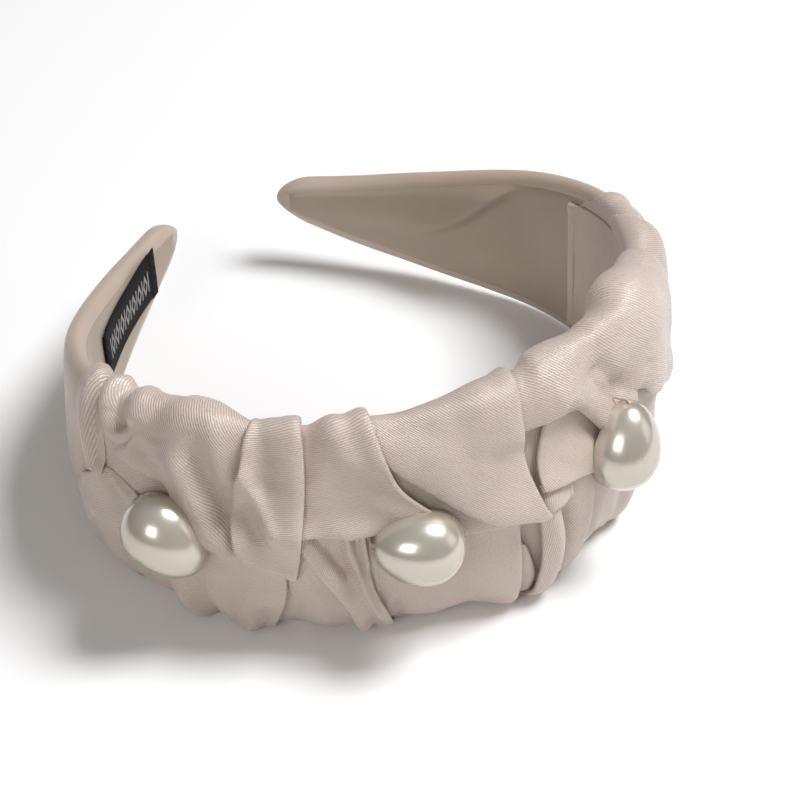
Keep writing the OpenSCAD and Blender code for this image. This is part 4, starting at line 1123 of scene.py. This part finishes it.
# ------------------------------------------------------------------ camera, floor and light
AZ, EL, DIST, FPX, CX, CY, ROLL = math.radians(-27.2866), math.radians(35.9935), 597.866, 2428.076, 349.881, 362.180, math.radians(-3.3613)
back = np.array([math.sin(AZ) * math.cos(EL), -math.cos(AZ) * math.cos(EL), math.sin(EL)])
right = np.array([math.cos(AZ), math.sin(AZ), 0])
up = np.array([-math.sin(AZ) * math.sin(EL), math.cos(AZ) * math.sin(EL), math.cos(EL)])
r2 = right * math.cos(ROLL) + up * math.sin(ROLL)
u2 = up * math.cos(ROLL) - right * math.sin(ROLL)


def turn_row(v):
    c, s = math.cos(LEAN), math.sin(LEAN)
    return Vector((v[0], v[1] * c + v[2] * s, -v[1] * s + v[2] * c))


eye = Vector(row(np.array([0, 0, 25.0]) + back * DIST))
cam_data = bpy.data.cameras.new("camera")
cam = bpy.data.objects.new("camera", cam_data)
bpy.context.scene.collection.objects.link(cam)
rx, ry, rz = turn_row(r2), turn_row(u2), turn_row(back)
cam.matrix_world = Matrix(((rx.x, ry.x, rz.x, eye.x), (rx.y, ry.y, rz.y, eye.y), (rx.z, ry.z, rz.z, eye.z), (0, 0, 0, 1)))
cam_data.sensor_width = 36.0
cam_data.lens = FPX * 36 / 800
cam_data.shift_x = (400 - CX) / 800
cam_data.shift_y = (CY - 400) / 800
cam_data.clip_start, cam_data.clip_end = 0.01, 20
bpy.context.scene.camera = cam

floor_mat, fnt, fb = new_mat("pale_floor")
fn = node(fnt, "ShaderNodeTexNoise", Scale=3.0, Detail=2.0)
fmix = node(fnt, "ShaderNodeMix", data_type="RGBA")
fmix.inputs["A"].default_value = (0.93, 0.93, 0.93, 1)
fmix.inputs["B"].default_value = (0.95, 0.95, 0.95, 1)
fnt.links.new(fn.outputs["Fac"], fmix.inputs["Factor"])
fnt.links.new(fmix.outputs["Result"], fb.inputs["Base Color"])
fb.inputs["Roughness"].default_value = 0.9
fb.inputs["Specular IOR Level"].default_value = 0.1
bpy.context.view_layer.update()
FZ = min(min((o.matrix_world @ Vector(c)).z for c in o.bound_box) for o in WRAP) - 0.0002
floor = mesh_object("floor", np.array([(-6, -6, FZ), (6, -6, FZ), (6, 6, FZ), (-6, 6, FZ)]), [(0, 1, 2, 3)], floor_mat, smooth=False)


def area_light(name, direction, dist, size, power, color, size_y=None):
    l = bpy.data.lights.new(name, "AREA")
    l.shape = "RECTANGLE"
    l.size, l.size_y = size, size_y or size
    l.energy = power
    l.color = color
    o = bpy.data.objects.new(name, l)
    bpy.context.scene.collection.objects.link(o)
    d = Vector(direction).normalized()
    o.location = Vector((0, -0.02, 0.03)) + d * dist
    o.rotation_mode = "QUATERNION"
    o.rotation_quaternion = d.to_track_quat("Z", "Y")
    return o


area_light("window", (0.44, -0.16, 0.88), 1.3, 0.4, 17.5, (0.98, 0.985, 1.0), 0.55)
area_light("room_fill", (-0.66, -0.50, 0.56), 1.5, 0.6, 5.2, (1.0, 0.965, 0.93))
area_light("side_fill", (0.80, -0.5, 0.35), 1.6, 0.8, 1.6, (1.0, 0.97, 0.94))
world = bpy.data.worlds.new("studio")
bpy.context.scene.world = world
world.use_nodes = True
bg = world.node_tree.nodes["Background"]
bg.inputs["Color"].default_value = (0.97, 0.955, 0.93, 1)
bg.inputs["Strength"].default_value = 0.17
bpy.context.scene.view_settings.view_transform = "Standard"
